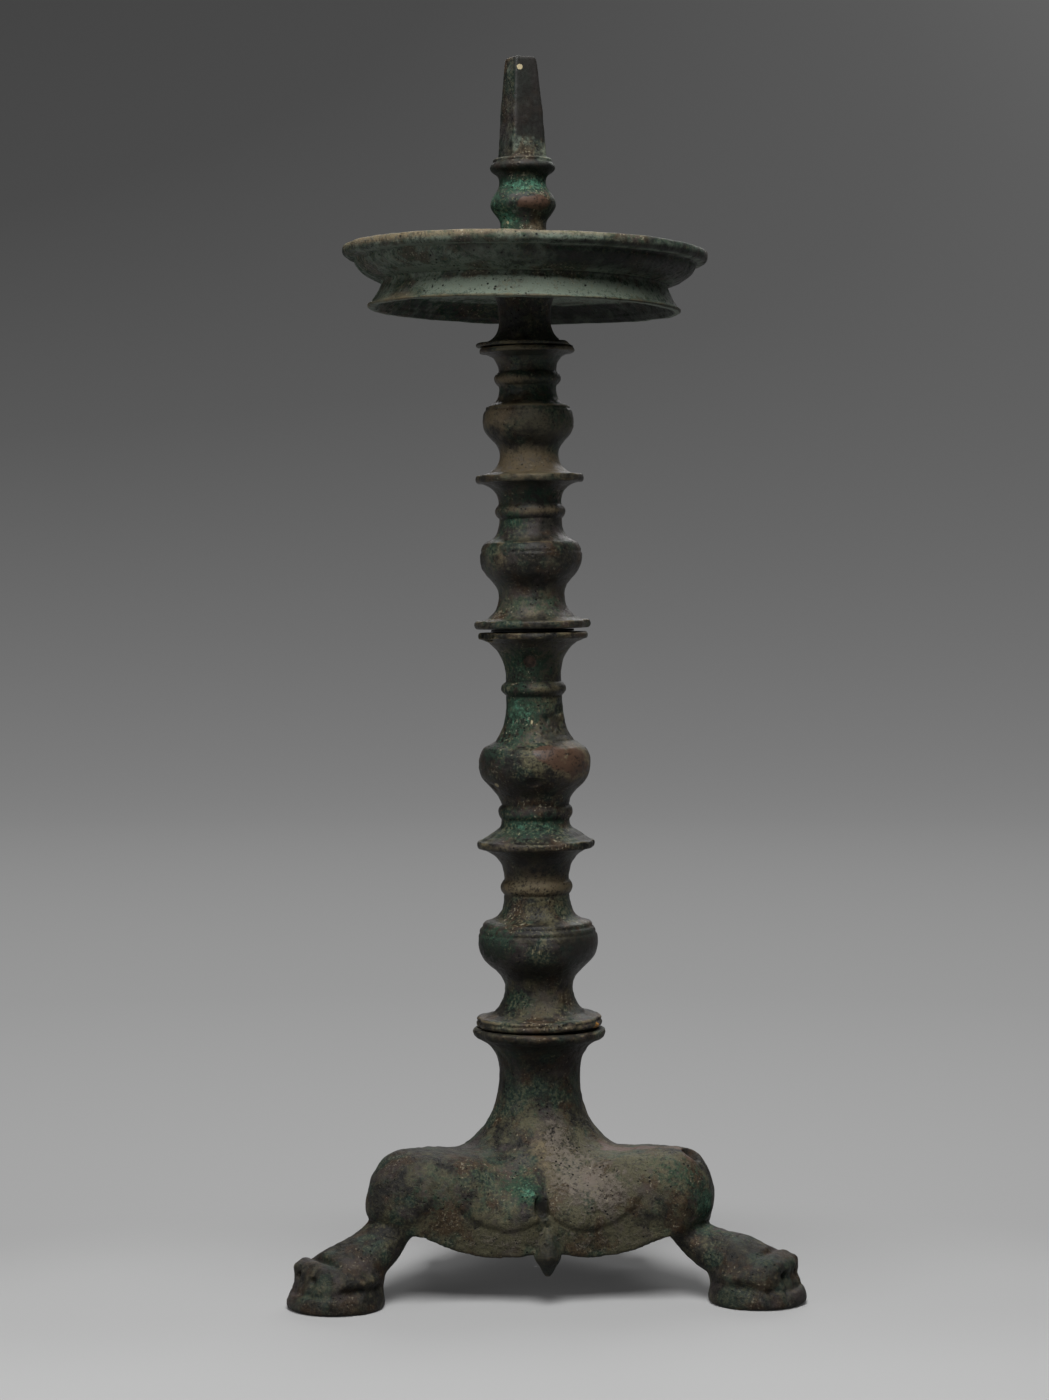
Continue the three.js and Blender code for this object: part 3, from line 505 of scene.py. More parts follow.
def paw_detail(body, u, v, w, high_instep, slot_depth, toe_drop):
    """Four curled toes worn to one mass, the pits under their knuckles and the slots above the pad."""
    from_pad = np.hypot(u - PAD_OUT, v)
    heel = np.maximum(np.maximum(from_pad - 18.7, w - 13), np.maximum(u - 96, 1 - w))
    body = melted(body, heel, 2.4)
    if high_instep:
        body = melted(body, rod(u, v, w, (77, 0, 20.2), (90, 0, 17.8), 7.2, 7.2), 2.4)
    notch = 20.6 - toe_drop
    body = pared(body, rod(u, v, w, (102.6, -12, notch), (102.6, 12, notch), 1.4, 1.4), 1.6)
    toes = None
    for aside, share in zip(TOE_PLACES, (0, 0.7, 0.9, 1)):
        tip = TOE_TIP - 0.018 * aside**2
        rub = toe_drop * share
        root = tip - 6.4 + 0.6 * toe_drop
        start = (root - rub, aside, 16.1 - rub)
        end = (tip - 3.4 - rub, aside, 15.4 - rub)
        knuckle = rod(u, v, w, start, end, 3.3, 3.0 - rub / 2)
        finger = rod(u, v, w, (tip - 5, aside, 14), (tip - 3.6, aside, 8), 2.9, 3.0)
        claw = rod(u, v, w, (tip - 3.4, aside, 9.6), (tip - 1.8, aside, 8), 2.6, 2.2)
        toe = melted(melted(knuckle, finger, 1.2), claw, 0.8)
        toes = toe if toes is None else melted(toes, toe, 2.2)
    body = melted(body, toes, 1.8)
    for side in (-1, 1):
        pit = rod(u, v, w, (TOE_TIP - 3, side * 5.4, 12.9), (TOE_TIP + 1, side * 5.6, 12.4), 1.5, 1.3)
        body = pared(body, pit, 0.9)
    flank = ease(np.abs(v) / np.maximum(from_pad, 1), 0.5, 0.86)
    flank = flank * ease(from_pad, 9, 12) * ease(106 - u, 0, 4)
    slot = flank * np.exp(-(((w - 9.2) / 1.3) ** 2))
    return body + slot_depth * slot * ease(body, -4, -0.5)


def tripod_skin():
    """The foot's skin: bell, legs and pads run together, the paws shaped, the bell hollowed and lined."""
    top = BASE_HEIGHT
    outline = np.concatenate(
        [
            [(SHUT, top - BASE_SOCKET_DEPTH), (BASE_SOCKET_RADIUS, top - BASE_SOCKET_DEPTH)],
            [(BASE_SOCKET_RADIUS, top), (26.3, top)],
            bow((26.3, top), (27.2, top), (27.2, top - 1.2)),
            bow((27.2, top - 1.2), (27.2, top - 3.4), (24.5, top - 4.2)),
            bow((24.5, top - 4.2), (COLUMN_RADIUS, top - 7.5), (COLUMN_RADIUS, 85.2)),
            bow((COLUMN_RADIUS, 85.2), (COLUMN_RADIUS, 47.5), (50, 54), (BELL_RADIUS, 32), steps=48),
            bow((BELL_RADIUS, 32), (50.5, WING_EDGE_HEIGHT)),
            [(SHUT, WING_EDGE_HEIGHT)],
        ]
    )
    hollow = np.concatenate(
        [
            [(SHUT, -8), (47.6, -8)],
            bow((47.6, WING_EDGE_HEIGHT - 4), (47.6, WING_EDGE_HEIGHT), steps=4),
            bow((47.6, WING_EDGE_HEIGHT), (48.5, 32), (45.5, 52), (SHUT, 52), steps=40),
        ]
    )
    pad = np.concatenate(
        [
            [(SHUT, 0), (18, 0)],
            bow((18, 0), (19.3, 0.2), (19.2, 2.4)),
            bow((19.2, 2.4), (18.9, 5.6), (17.2, 7.4)),
            bow((17.2, 7.4), (17.8, 9), (17.6, 11.5)),
            bow((17.6, 11.5), (17, 18), (SHUT, 18.5)),
        ]
    )
    block = (BASE_LOW, BASE_HIGH, BASE_GRAIN)
    bell, first = wax_field([bell_rings(outline, 20, 8)], *block)
    legs = [leg_rings(*leg) for leg in zip(KNEE_SHIFTS, ANKLE_SHIFTS, TOE_DROPS, LEG_TURNS)]
    pads = [turned_about(round_rings(pad) + (PAD_OUT, 0, 0), turn) for turn in LEG_TURNS]
    body = melted(bell, wax_field(legs, *block)[0], 9)
    pads = wax_field(pads, *block)[0]
    x, y, z = (
        ((first[i] + np.arange(body.shape[i])) * BASE_GRAIN).astype(np.float32) for i in range(3)
    )
    toe_cut = np.hypot(x[:, None], y[None, :])[:, :, None]
    pads = np.maximum(pads, np.minimum(toe_cut - 107, z[None, None] - 6.2))
    body = melted(body, pads, 3)
    for turn, *paw in zip(LEG_TURNS, HIGH_INSTEPS, SLOT_DEPTHS, TOE_DROPS):
        cosine, sine = math.cos(math.radians(turn)), math.sin(math.radians(turn))
        inside = []
        for line, middle, half in ((x, 98 * cosine, 30), (y, 98 * sine, 30), (z, 14, 18)):
            inside.append(slice(*np.searchsorted(line, (middle - half, middle + half))))
        inside = tuple(inside)
        px, py, pz = x[inside[0]][:, None, None], y[inside[1]][None, :, None], z[inside[2]]
        u, v, w = px * cosine + py * sine, py * cosine - px * sine, pz[None, None]
        body[inside] = paw_detail(body[inside], u, v, w, *paw)

    # The bell is hollow from below, with a thick place left behind the front crease.
    hollow_field = wax_field([bell_rings(hollow, 4, 0)], *block)[0]
    behind = np.sqrt(x[:, None, None] ** 2 + (y[None, :, None] + 37) ** 2 + (z[None, None] - 43) ** 2)
    hollow_field = np.maximum(hollow_field, 8 - behind)
    body = pared(body, hollow_field, 1.0)

    # Each wing has an arc line cut in it, and the field inside the arc stands a little proud.
    angle = np.degrees(np.arctan2(y[None, :], x[:, None]))
    radius = np.hypot(x[:, None], y[None, :])
    from_crease = np.abs((angle - 90) % 120 - 60)
    along = (np.radians(from_crease - ARC_TURN) * BELL_RADIUS)[:, :, None]
    rise = z[None, None] - ARC_HEIGHT
    from_arc = (np.sqrt((along / ARC_HALF_WIDTH) ** 2 + (rise / ARC_HALF_HEIGHT) ** 2) - 1) * 17.5
    outside = ease(hollow_field, 0.8, 2.0) * (ease(radius, 36, 42) * ease(-radius, -66, -60))[:, :, None]
    low_side = ease(-rise, -3, 6)
    body += ARC_GROOVE * np.exp(-((from_arc / 0.8) ** 2)) * low_side * outside
    body -= ARC_FIELD * ease(-from_arc, 0, 1.6) * low_side * outside
    buds = wax_field([bud_rings(turn) for turn in CREASE_TURNS], *block)[0]
    body = melted(body, buds, 0.3)

    # Above the front bud run a crease and a lens-shaped hollow. The right haunch has a chip.
    in_front = y[None, :, None] < 0
    front = (np.radians((angle - 270 + 180) % 360 - 180) * 46)[:, :, None]
    crease = np.exp(-(((front + 0.8) / 0.8) ** 2)) * ease(z, 40, 44) * ease(60 - z, 0, 6)
    body += 0.8 * crease * outside * in_front
    lens = ((front - LENS_ASIDE) / LENS_HALF_WIDTH) ** 2
    lens = np.sqrt(lens + ((z[None, None] - LENS_HEIGHT) / LENS_HALF_HEIGHT) ** 2) - 1
    lens = np.maximum(lens * 2.6, front - 0.7)
    lens = np.maximum(lens, 45 - radius[:, :, None])
    body = pared(body, np.maximum(lens, np.where(in_front, -9, 9)), 0.6)
    chip_x, chip_y, chip_z = HAUNCH_CHIP
    chip_gap = (x[:, None, None] - chip_x) ** 2 + (y[None, :, None] - chip_y) ** 2
    chip_gap = chip_gap + (z[None, None] - chip_z) ** 2
    body = pared(body, np.sqrt(chip_gap) - HAUNCH_CHIP_RADIUS, 0.8)
    return wax_skin(body, first, BASE_GRAIN)


tripod_points, tripod_faces = tripod_skin()
tripod_outward = facing(tripod_points, tripod_faces)
tripod_uneven = 0.3 * lumps(tripod_points, 14, 1) + 0.22 * lumps(tripod_points, 5, 2)
tripod_uneven += 0.2 * lumps(tripod_points, 2.1, 3)
tripod_out = np.hypot(tripod_points[:, 0], tripod_points[:, 1])
paw_uneven = 0.3 * lumps(tripod_points, 4.4, 4) + 0.2 * lumps(tripod_points, 2.6, 5)
tripod_uneven += ease(tripod_out, 76, 90) * paw_uneven
tripod_free = ease(tripod_points[:, 2], 0.3, 2) * ease(BASE_HEIGHT - tripod_points[:, 2], 0.3, 1.5)
tripod_points += tripod_outward * (tripod_uneven * tripod_free)[:, None]
tripod_low, tripod_high = (np.array(corner) * 1000 - STAND_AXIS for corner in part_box("tripod_base"))
tripod_points = np.clip(tripod_points, tripod_low, tripod_high)
hollow_grime_and_shade, rubbed_and_highlit = wear(tripod_points, tripod_faces)
right_of_crease = ease(tripod_points[:, 0], -0.6, 0.8) * ease(-tripod_points[:, 1], 0, 4)
tripod_marks = {
    "hollow_grime_and_shade": 0.75 * hollow_grime_and_shade,
    # Painted shade: darker on faces turned down, on the paws, on the left haunch, under the top flange, in
    # the lens hollow and on the front bud.
    "under": ease(-tripod_outward[:, 2], 0.45, 0.95) + 0.5 * ease(tripod_out, 74, 90)
    + spots(
        tripod_points, (0.6, -60, 50, 20, 12), (0.5, 0, 92, 60, 7), (1.3, -2, 37, 2.0, 5.5),
        (1.2, 0.5, 20, 4.5, 8),
    ),
    "rubbed_and_highlit": rubbed_and_highlit,
    "verdigris": spots(
        tripod_points, (0.5, -8, 43, 4, 3), (0.45, -14, 46, 7, 4.5), (0.7, 58, 36, 8, 9),
        (0.35, 50, 50, 12, 8), (0.25, -35, 46, 26, 14), (0.25, 0, 76, 20, 12), (0.5, -150, 48, 20, 14),
        (0.4, 150, 34, 20, 9),
    ),
    # The spots low on the two front wings, here and in the next mark, are painted light that lifts their
    # shaded lower parts.
    "earth_and_painted_light": right_of_crease * spots(tripod_points, (0.7, 22, 47, 18, 13), (0.5, 8, 64, 8, 9))
    + 0.12 * ease(tripod_out, 84, 100)
    + spots(tripod_points, (0.4, -130, 40, 22, 16), (0.3, -24, 25, 24, 6), (0.3, 24, 25, 24, 6)),
    "pale_and_painted_light": right_of_crease * spots(tripod_points, (0.7, 20, 44, 24, 15))
    + spots(
        tripod_points, (0.35, -30, 44, 26, 14), (0.3, 0, 72, 30, 8), (0.9, -24, 25, 26, 7),
        (0.9, 24, 25, 26, 7), (0.8, 46, 52, 16, 9),
    ),
    "tan": spots(tripod_points, (0.6, 4, 56, 9, 12), (0.3, -3, 34, 7, 10)) + 0.25 * ease(tripod_out, 78, 92),
    # The spot at the lens hollow is painted shade.
    "sleek_and_painted_shade": spots(tripod_points, (0.6, -2.4, 39, 2.4, 4.6)),
    "cuprite": spots(tripod_points, (0.7, 23, 48, 4.5, 3), (0.75, 60, 56, 6, 4), (0.35, -3, 38, 4, 8)),
}
tripod_foot = put_in_stand(
    "tripod_foot", tripod_points, tripod_faces, STAND_AXIS, 0, rough_patina, tripod_marks
)
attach(tripod_foot, "foot")
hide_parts("tripod_base")

# Base dowel: a round bronze pin, filed to fit its holes. It stands loose in the foot's socket, and the lower
# shaft is set down over it.


def worked_metal(name, clean, stained, metallic, rough, stroke):
    """Metal shaped by hand: strokes of a tool round the piece, and stains that the joint left on it."""
    material, tree, place = blank_material(name)
    stain_size = 4
    # Strokes run round the piece. A tool's real strokes are finer: these are as coarse as they need to show.
    drawn_links = {0: place, 1: (0.12, 0.12, 1)}
    drawn = node(tree, "ShaderNodeVectorMath", drawn_links, operation="MULTIPLY").outputs[0]
    stroke_links = {"Vector": drawn, "Scale": 1000 / stroke, "Detail": 3, "Roughness": 0.6}
    strokes = node(tree, "ShaderNodeTexNoise", stroke_links).outputs["Fac"]
    stain_links = {"Vector": place, "Scale": 1000 / stain_size, "Detail": 5, "Roughness": 0.6}
    stain = node(tree, "ShaderNodeTexNoise", stain_links).outputs["Fac"]
    share_links = {"Value": stain, "From Min": 0.42, "From Max": 0.62}
    share = node(tree, "ShaderNodeMapRange", share_links, interpolation_type="SMOOTHSTEP").outputs[0]
    skin_links = {0: share, 6: tone(clean), 7: tone(stained)}
    skin = node(tree, "ShaderNodeMix", skin_links, data_type="RGBA").outputs[2]
    dull_links = {0: share, 1: 0.2, 2: rough}
    dull = node(tree, "ShaderNodeMath", dull_links, operation="MULTIPLY_ADD").outputs[0]
    bump_links = {"Height": strokes, "Strength": 0.6, "Distance": 0.0003}
    bump = node(tree, "ShaderNodeBump", bump_links).outputs[0]
    links = {"Base Color": skin, "Metallic": metallic, "Roughness": dull, "Normal": bump}
    surface = node(tree, "ShaderNodeBsdfPrincipled", links).outputs[0]
    node(tree, "ShaderNodeOutputMaterial", {"Surface": surface})
    return material


# Filed bronze: brown metal that still glints, with file strokes round it and dark stains from the socket.
filed_bronze = worked_metal("bronze_filed_dull", "#6a5637", "#3b301f", 0.8, 0.42, 0.7)
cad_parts["base_dowel"].data.materials.clear()
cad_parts["base_dowel"].data.materials.append(filed_bronze)

# Lower shaft: a bronze casting from a wax turned on a spindle, two balusters between three flanges.
# A blind socket in each end takes a dowel. It leans a degree to the left on the foot.
LOWER_LEAN = -1.0
LOWER_PLACE = STAND_AXIS + (0, 0, 104.2538)
LOWER_SOCKETS = ((5.7, 21.2), (5.7, 22.3))
# A flange is given by its radius, the rounding of its lower edge, its rise and the ledge above it.
LOWER_FOOT = (26, 1.6, 4.2, 22.8)
LOWEST_BALUSTER = dict(
    cove=12.4, neck=13.9, bulb=24.5, below=17.7, above=8.6, ridge=21.6, ledge=18.4, ledge_rise=0.9,
    throat=13.4, throat_rise=10.6, bead=14.9, bead_rise=6, flare=12.9,
)
KNIFE_FLANGE = (24.2, 1.2, 3.2, 22.8)
SECOND_BALUSTER = dict(
    cone=(15.4, 5), cove=3.7, neck=14.1, low_bead=(15.3, 5.8), bulb=22.9, below=16.8, above=6.8,
    ridge=20.7, ledge=17.6, ledge_rise=1.7, throat=11.3, throat_rise=19.7, bead=13.3, bead_rise=5.6,
    flare=17.4,
)
LOWER_TOP_FLANGE = (22.6, 1.2, 2.8, 21.2)


def cove(line, radius, rise):
    x, y = line[-1]
    line.extend(bow((x, y), (radius, y + 0.2 * rise), (radius, y + rise)))


def flare(line, radius, rise):
    x, y = line[-1]
    line.extend(bow((x, y), (x, y + 0.78 * rise), (radius, y + rise)))


def bead(line, radius, rise):
    x, y = line[-1]
    line.extend(bow((x, y), (radius, y), (radius, y + rise / 2)))
    line.extend(bow((radius, y + rise / 2), (radius, y + rise), (x, y + rise)))


def roll(line, radius, rise):
    """A bead run up softly from the neck on both sides."""
    x, y = line[-1]
    for share in np.arange(1, 25) / 24:
        line.append((x + (radius - x) * math.sin(math.pi * share) ** 0.8, y + rise * share))
    line[-1] = (x, y + rise)


def flange(line, radius, rounding, rise, ledge):
    y = line[-1][1]
    line.append((radius - rounding, y))
    bead(line, radius, rise)
    line.append((ledge, y + rise))


def baluster(line, sizes, flare_radius):
    """One baluster upwards: cove, bulb with a ridge and a ledge on its shoulder, throat, bead, flare."""
    if "cone" in sizes:
        line.append((sizes["cone"][0], line[-1][1] + sizes["cone"][1]))
    cove(line, sizes["neck"], sizes["cove"])
    if "low_bead" in sizes:
        roll(line, *sizes["low_bead"])
    x, y = line[-1]
    below, above, wide = sizes["below"], sizes["above"], sizes["bulb"]
    middle = y + below
    line.extend(
        bow((x, y), (x, y + 0.42 * below), (wide, middle - 0.56 * below), (wide, middle), steps=24)
    )
    line.extend(bow((wide, middle), (wide, middle + 0.62 * above), (sizes["ridge"], middle + above)))
    line.append((sizes["ledge"], middle + above + sizes["ledge_rise"]))
    cove(line, sizes["throat"], sizes["throat_rise"])
    roll(line, sizes["bead"], sizes["bead_rise"])
    flare(line, flare_radius, sizes["flare"])


def shaft_line(sockets, foot, low, middle, high, top):
    """A shaft's outline from the bottom of its lower socket round to the bottom of its upper one."""
    (low_radius, low_depth), (top_radius, top_depth) = sockets
    line = [(low_radius, low_depth), (low_radius, 0)]
    flange(line, *foot)
    baluster(line, low, middle[3])
    flange(line, *middle)
    baluster(line, high, top[3])
    flange(line, *top)
    length = line[-1][1]
    line += [(top_radius, length), (top_radius, length - top_depth)]
    return line, length


def evened(line, step):
    """The same line with points at even steps."""
    run = np.concatenate([[0], np.cumsum(np.linalg.norm(np.diff(line, axis=0), axis=1))])
    keep = np.concatenate([[True], np.diff(run) > 1e-6])
    at = np.linspace(0, run[-1], max(2, round(run[-1] / step)))
    return np.stack([np.interp(at, run[keep], line[keep, i]) for i in range(2)], -1)


def turned_skin(line, step, columns, closed=False):
    """Points and faces of a round piece from its outline."""
    rings = round_rings(evened(np.array(line, float), step), columns)
    return rings.reshape(-1, 3), ring_faces(len(rings), columns, closed)


def aged(points, faces, seed, broad, middling, fine, free):
    """Casting unevenness on the free surfaces of a piece."""
    uneven = broad * lumps(points, 15, seed) + middling * lumps(points, 5, seed + 1)
    uneven += fine * lumps(points, 1.9, seed + 2)
    return points + facing(points, faces) * (uneven * free)[:, None]


def drawn_in(points, pull):
    """Points pulled straight in towards the axis."""
    radius = np.maximum(np.hypot(points[:, 0], points[:, 1]), 0.1)
    share = 1 - pull / radius
    return np.stack([points[:, 0] * share, points[:, 1] * share, points[:, 2]], 1)


def chip(points, turn, height, across, tall, depth):
    """A broken place on a round edge."""
    pull = depth * ease(near(points, turn, height, across, tall), 0.15, 0.75)
    pull *= 1 + 0.35 * lumps(points, 1.6, 77)
    return drawn_in(points, pull)


def scored(points, *lines):
    """Fine lines cut round a turned piece, each with its height, depth and half-width."""
    radius = np.hypot(points[:, 0], points[:, 1])
    cut = sum(depth * np.exp(-(((points[:, 2] - height) / half) ** 2)) for height, depth, half in lines)
    return drawn_in(points, cut * ease(radius, 9, 10.5))


def shaft_skin(line, length, sockets, seed):
    """A shaft with casting unevenness and faint turning lines, and the caps that shut its two sockets."""
    columns = 160
    points, faces = turned_skin(line, 0.5, columns)
    radius = np.hypot(points[:, 0], points[:, 1])
    free = ease(points[:, 2], 0.2, 1.8) * ease(length - points[:, 2], 0.2, 1.6)
    free *= ease(radius, sockets[0][0] + 1, sockets[0][0] + 3)
    points = aged(points, faces, seed, 0.3, 0.2, 0.09, free)
    turning = 0.1 * lumps(points * (0.07, 0.07, 1), 1.3, seed + 3) * free * ease(radius, 9, 11)
    points = points * np.stack([1 + turning / np.maximum(radius, 1)] * 2 + [np.ones(len(points))], 1)
    count = len(points)
    return points, faces, (range(columns)[::-1], range(count - columns, count))


lower_line, lower_length = shaft_line(
    LOWER_SOCKETS, LOWER_FOOT, LOWEST_BALUSTER, KNIFE_FLANGE, SECOND_BALUSTER, LOWER_TOP_FLANGE
)
lower_points, lower_faces, lower_caps = shaft_skin(lower_line, lower_length, LOWER_SOCKETS, 20)
lower_points = scored(
    lower_points, (41.2, 0.45, 0.5), (38.6, 0.3, 0.5), (5.6, 0.35, 0.5), (2.5, 0.6, 0.5),
    (78.4, 0.3, 0.5), (117.4, 0.35, 0.5), (91.2, 0.35, 0.6), (157.6, 0.3, 0.5),
)
for place in (
    (-72, lower_length - 1, 9, 2.4, 3.2), (25, 4.2, 3, 1.5, 0.8), (48, 74.6, 2.6, 1.6, 1.2),
    (80, 75, 3, 1.5, 1), (-10, 150, 3.2, 3.4, 1.3), (40, 124, 6.5, 5.4, 1.4), (60, 130, 3, 2.6, 1.3),
    (20, 120, 3, 1.6, 0.8), (-5, 101.3, 3, 1.7, 1.3), (-68, 99, 2.4, 1.8, 0.9), (-24, 30, 2, 4, 0.5),
    (70, 3, 4, 2, 1.1), (-80, 2, 4, 2, 0.9), (10, 4, 3, 1.2, 0.9), (-38, 3.6, 2.4, 1.4, 0.8),
):
    lower_points = chip(lower_points, *place)
hollow_grime_and_shade, rubbed_and_highlit = wear(lower_points, lower_faces)
lower_marks = {
    "hollow_grime_and_shade": hollow_grime_and_shade,
    # Painted shade: darker on faces turned down, on the sides of both bulbs, below the knife flange, and in
    # and around a few chips.
    "under": 0.8 * ease(-facing(lower_points, lower_faces)[:, 2], 0.25, 0.9)
    + spots(
        lower_points, (0.9, -60, 107, 13, 9), (1.0, -58, 31, 16, 9), (0.4, 58, 31, 16, 9),
        (0.6, 42, 124, 6, 5), (0.9, 20, 128, 5, 1), (1.0, 28, 118.8, 6, 1.2), (1.5, -5, 101.3, 2.8, 1.5),
        (0.5, 10, 146, 6, 5), (0.7, 0, 66, 34, 5), (0.3, 0, 77, 40, 4),
    ),
    "rubbed_and_highlit": rubbed_and_highlit,
    "verdigris": spots(
        lower_points, (0.6, -55, 36, 14, 9), (0.5, -40, 12, 10, 5), (0.7, -15, 83, 18, 6),
        (0.75, -35, 130, 12, 10), (0.4, -50, 112, 12, 8), (0.6, -25, 150, 18, 8), (0.4, 150, 110, 20, 20),
        (0.4, 170, 45, 16, 16),
    ),
    "cuprite": spots(
        lower_points, (0.8, 42, 109, 14, 8), (0.6, 6, 113, 6, 4.5), (0.95, -10, 150, 3.4, 3.4),
        (0.3, 35, 33, 14, 8),
    ),
    "earth_and_painted_light": spots(lower_points, (0.3, 0, 12, 14, 5)),
    "lime": spots(
        lower_points, (0.6, -8, 125.4, 0.7, 1.5), (0.5, 1, 124.4, 0.6, 0.9), (0.9, -56, 100, 1.2, 0.9),
        (0.6, -8, 34, 0.7, 4), (0.55, -3, 33, 0.6, 3),
    ),
    "tan": spots(
        lower_points, (0.4, -10, 75, 40, 4), (0.8, 0, 57, 26, 3.5), (0.5, 0, 63, 26, 6),
        (1.0, 48, 108, 14, 8), (0.4, 10, 139, 18, 2.4), (0.9, -10, 150, 2.8, 3), (0.4, 40, 14, 12, 6),
        (0.5, 0, 2.4, 30, 2),
    ),
    "sleek_and_painted_shade": spots(lower_points, (0.95, 55, 33, 18, 10)),
    # The spot at the middle of the upper bulb is a painted highlight.
    "pale_and_painted_light": spots(
        lower_points, (1.0, 3, 128, 9, 10), (0.7, 0, 111, 7, 5), (0.9, 15, 152, 28, 8),
        (0.6, 5, 50, 14, 5), (0.6, 0, 12, 12, 6),
    ),
    "ochre": spots(lower_points, (1.2, 63, 0.6, 3.5, 2.0)),
}
# Old dark patina: brown-black oxide with olive clouds, which shows a half-dull sheen on the round bulbs.
dark_patina = patinated_bronze(
    "bronze_dark_patina", "#0d0c0a", "#28261f", "#4e4a36", 0.12, 0.42, 0.0005, 0.7, 0.8
)
lower_shaft = put_in_stand(
    "lower_shaft_cast", lower_points, lower_faces, LOWER_PLACE, LOWER_LEAN, dark_patina, lower_marks,
    lower_caps,
)
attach(lower_shaft, "lower_stem")
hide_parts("lower_shaft")

# Middle dowel and packing ring: a second loose bronze pin, and a thin ring cut by hand from lead sheet. The
# ring lies round the pin between the flanges of the two shafts and fills the open joint.

# Cut lead: soft grey with a pale bloom of oxide, almost without shine.
lead = worked_metal("lead_sheet_dull", "#333436", "#464746", 0.6, 0.66, 1.2)
for joint_piece, metal in (("middle_dowel", filed_bronze), ("middle_packing_ring", lead)):
    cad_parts[joint_piece].data.materials.clear()
    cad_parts[joint_piece].data.materials.append(metal)

# Upper shaft: the second bronze casting of the same kind, thinner towards the top. It stands on the middle
# dowel, leans a little more than the lower shaft, and its top socket takes the pricket's tang.
UPPER_LEAN = -1.2
UPPER_PLACE = np.array([-2.8493, STAND_AXIS[1], 267.4882])
UPPER_SOCKETS = ((5.7, 21.2), (5.9, 20.2))
UPPER_FOOT = (23.7, 1.4, 3.4, 21)
THIRD_BALUSTER = dict(
    cove=10.5, neck=13.5, bulb=21, below=15.5, above=5.7, ridge=19, ledge=16.6, ledge_rise=1.2,
    throat=12.8, throat_rise=8.6, bead=14.4, bead_rise=5.8, flare=9,
)
THIN_FLANGE = (22, 1, 3, 20)
TOP_BALUSTER = dict(
    cove=8.3, neck=11.9, bulb=18.7, below=14, above=5.7, ridge=17, ledge=14.6, ledge_rise=1.2,
    throat=11.7, throat_rise=7.1, bead=13.6, bead_rise=5.7, flare=7.6,
)
UPPER_TOP_FLANGE = (19.3, 0.9, 2.2, 17.6)

upper_line, upper_length = shaft_line(
    UPPER_SOCKETS, UPPER_FOOT, THIRD_BALUSTER, THIN_FLANGE, TOP_BALUSTER, UPPER_TOP_FLANGE
)
upper_points, upper_faces, upper_caps = shaft_skin(upper_line, upper_length, UPPER_SOCKETS, 30)
upper_points = scored(
    upper_points, (89.4, 0.4, 0.5), (31.4, 0.35, 0.5), (4.4, 0.3, 0.5), (63.6, 0.3, 0.5),
    (110.6, 0.3, 0.5),
)
for place in (
    (70, 1.4, 5, 2, 1.2), (-60, 2.6, 4, 1.6, 0.8), (40, 62, 3, 1.4, 0.9), (-30, 96, 3, 2, 0.6),
    (20, 108, 4, 3, 0.5),
):
    upper_points = chip(upper_points, *place)
hollow_grime_and_shade, rubbed_and_highlit = wear(upper_points, upper_faces)
upper_marks = {
    "hollow_grime_and_shade": 0.65 * hollow_grime_and_shade,
    # Painted shade on faces turned down.
    "under": 0.8 * ease(-facing(upper_points, upper_faces)[:, 2], 0.25, 0.9),
    # The two thin rings at the ledges are painted highlight lines; the rest is wear on the edges.
    "rubbed_and_highlit": rubbed_and_highlit + spots(upper_points, (0.9, 0, 90.8, 40, 0.8), (0.7, 0, 35.2, 40, 0.8)),
    "verdigris": spots(
        upper_points, (0.6, -35, 44, 6, 4), (0.45, 40, 95, 14, 6), (0.4, 0, 55, 22, 5),
        (0.35, 50, 84, 12, 7), (0.4, 0, 10, 22, 5), (0.5, 160, 60, 20, 20),
    ),
    "cuprite": spots(upper_points, (0.3, 30, 24, 12, 5), (0.3, -40, 108, 12, 6)),
    "sleek_and_painted_shade": spots(upper_points, (0.3, 25, 28, 22, 8)),
    "earth_and_painted_light": spots(upper_points, (0.4, -5, 67, 18, 6)),
    "tan": spots(
        upper_points, (0.85, -5, 67, 24, 7), (0.58, -50, 86, 14, 9), (0.7, -40, 101, 14, 3),
        (0.5, 0, 48, 26, 3), (0.4, 0, 8, 26, 6), (0.35, -40, 28, 14, 8),
    ),
    "pale_and_painted_light": spots(
        upper_points, (0.8, 0, 67, 24, 8), (0.5, 0, 10, 22, 6), (0.8, 8, 86, 30, 8), (0.5, 0, 112, 24, 4),
    ),
}
# Smooth dark patina: the same oxide with little crust on it, which shows as soft grey-brown clouds.
smooth_patina = patinated_bronze(
    "bronze_smooth_patina", "#14130f", "#2a2822", "#4b4739", 0.1, 0.4, 0.0004, 0.4, 0.5
)
upper_shaft = put_in_stand(
    "upper_shaft_cast", upper_points, upper_faces, UPPER_PLACE, UPPER_LEAN, smooth_patina, upper_marks,
    upper_caps,
)
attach(upper_shaft, "upper_stem")
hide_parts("upper_shaft")

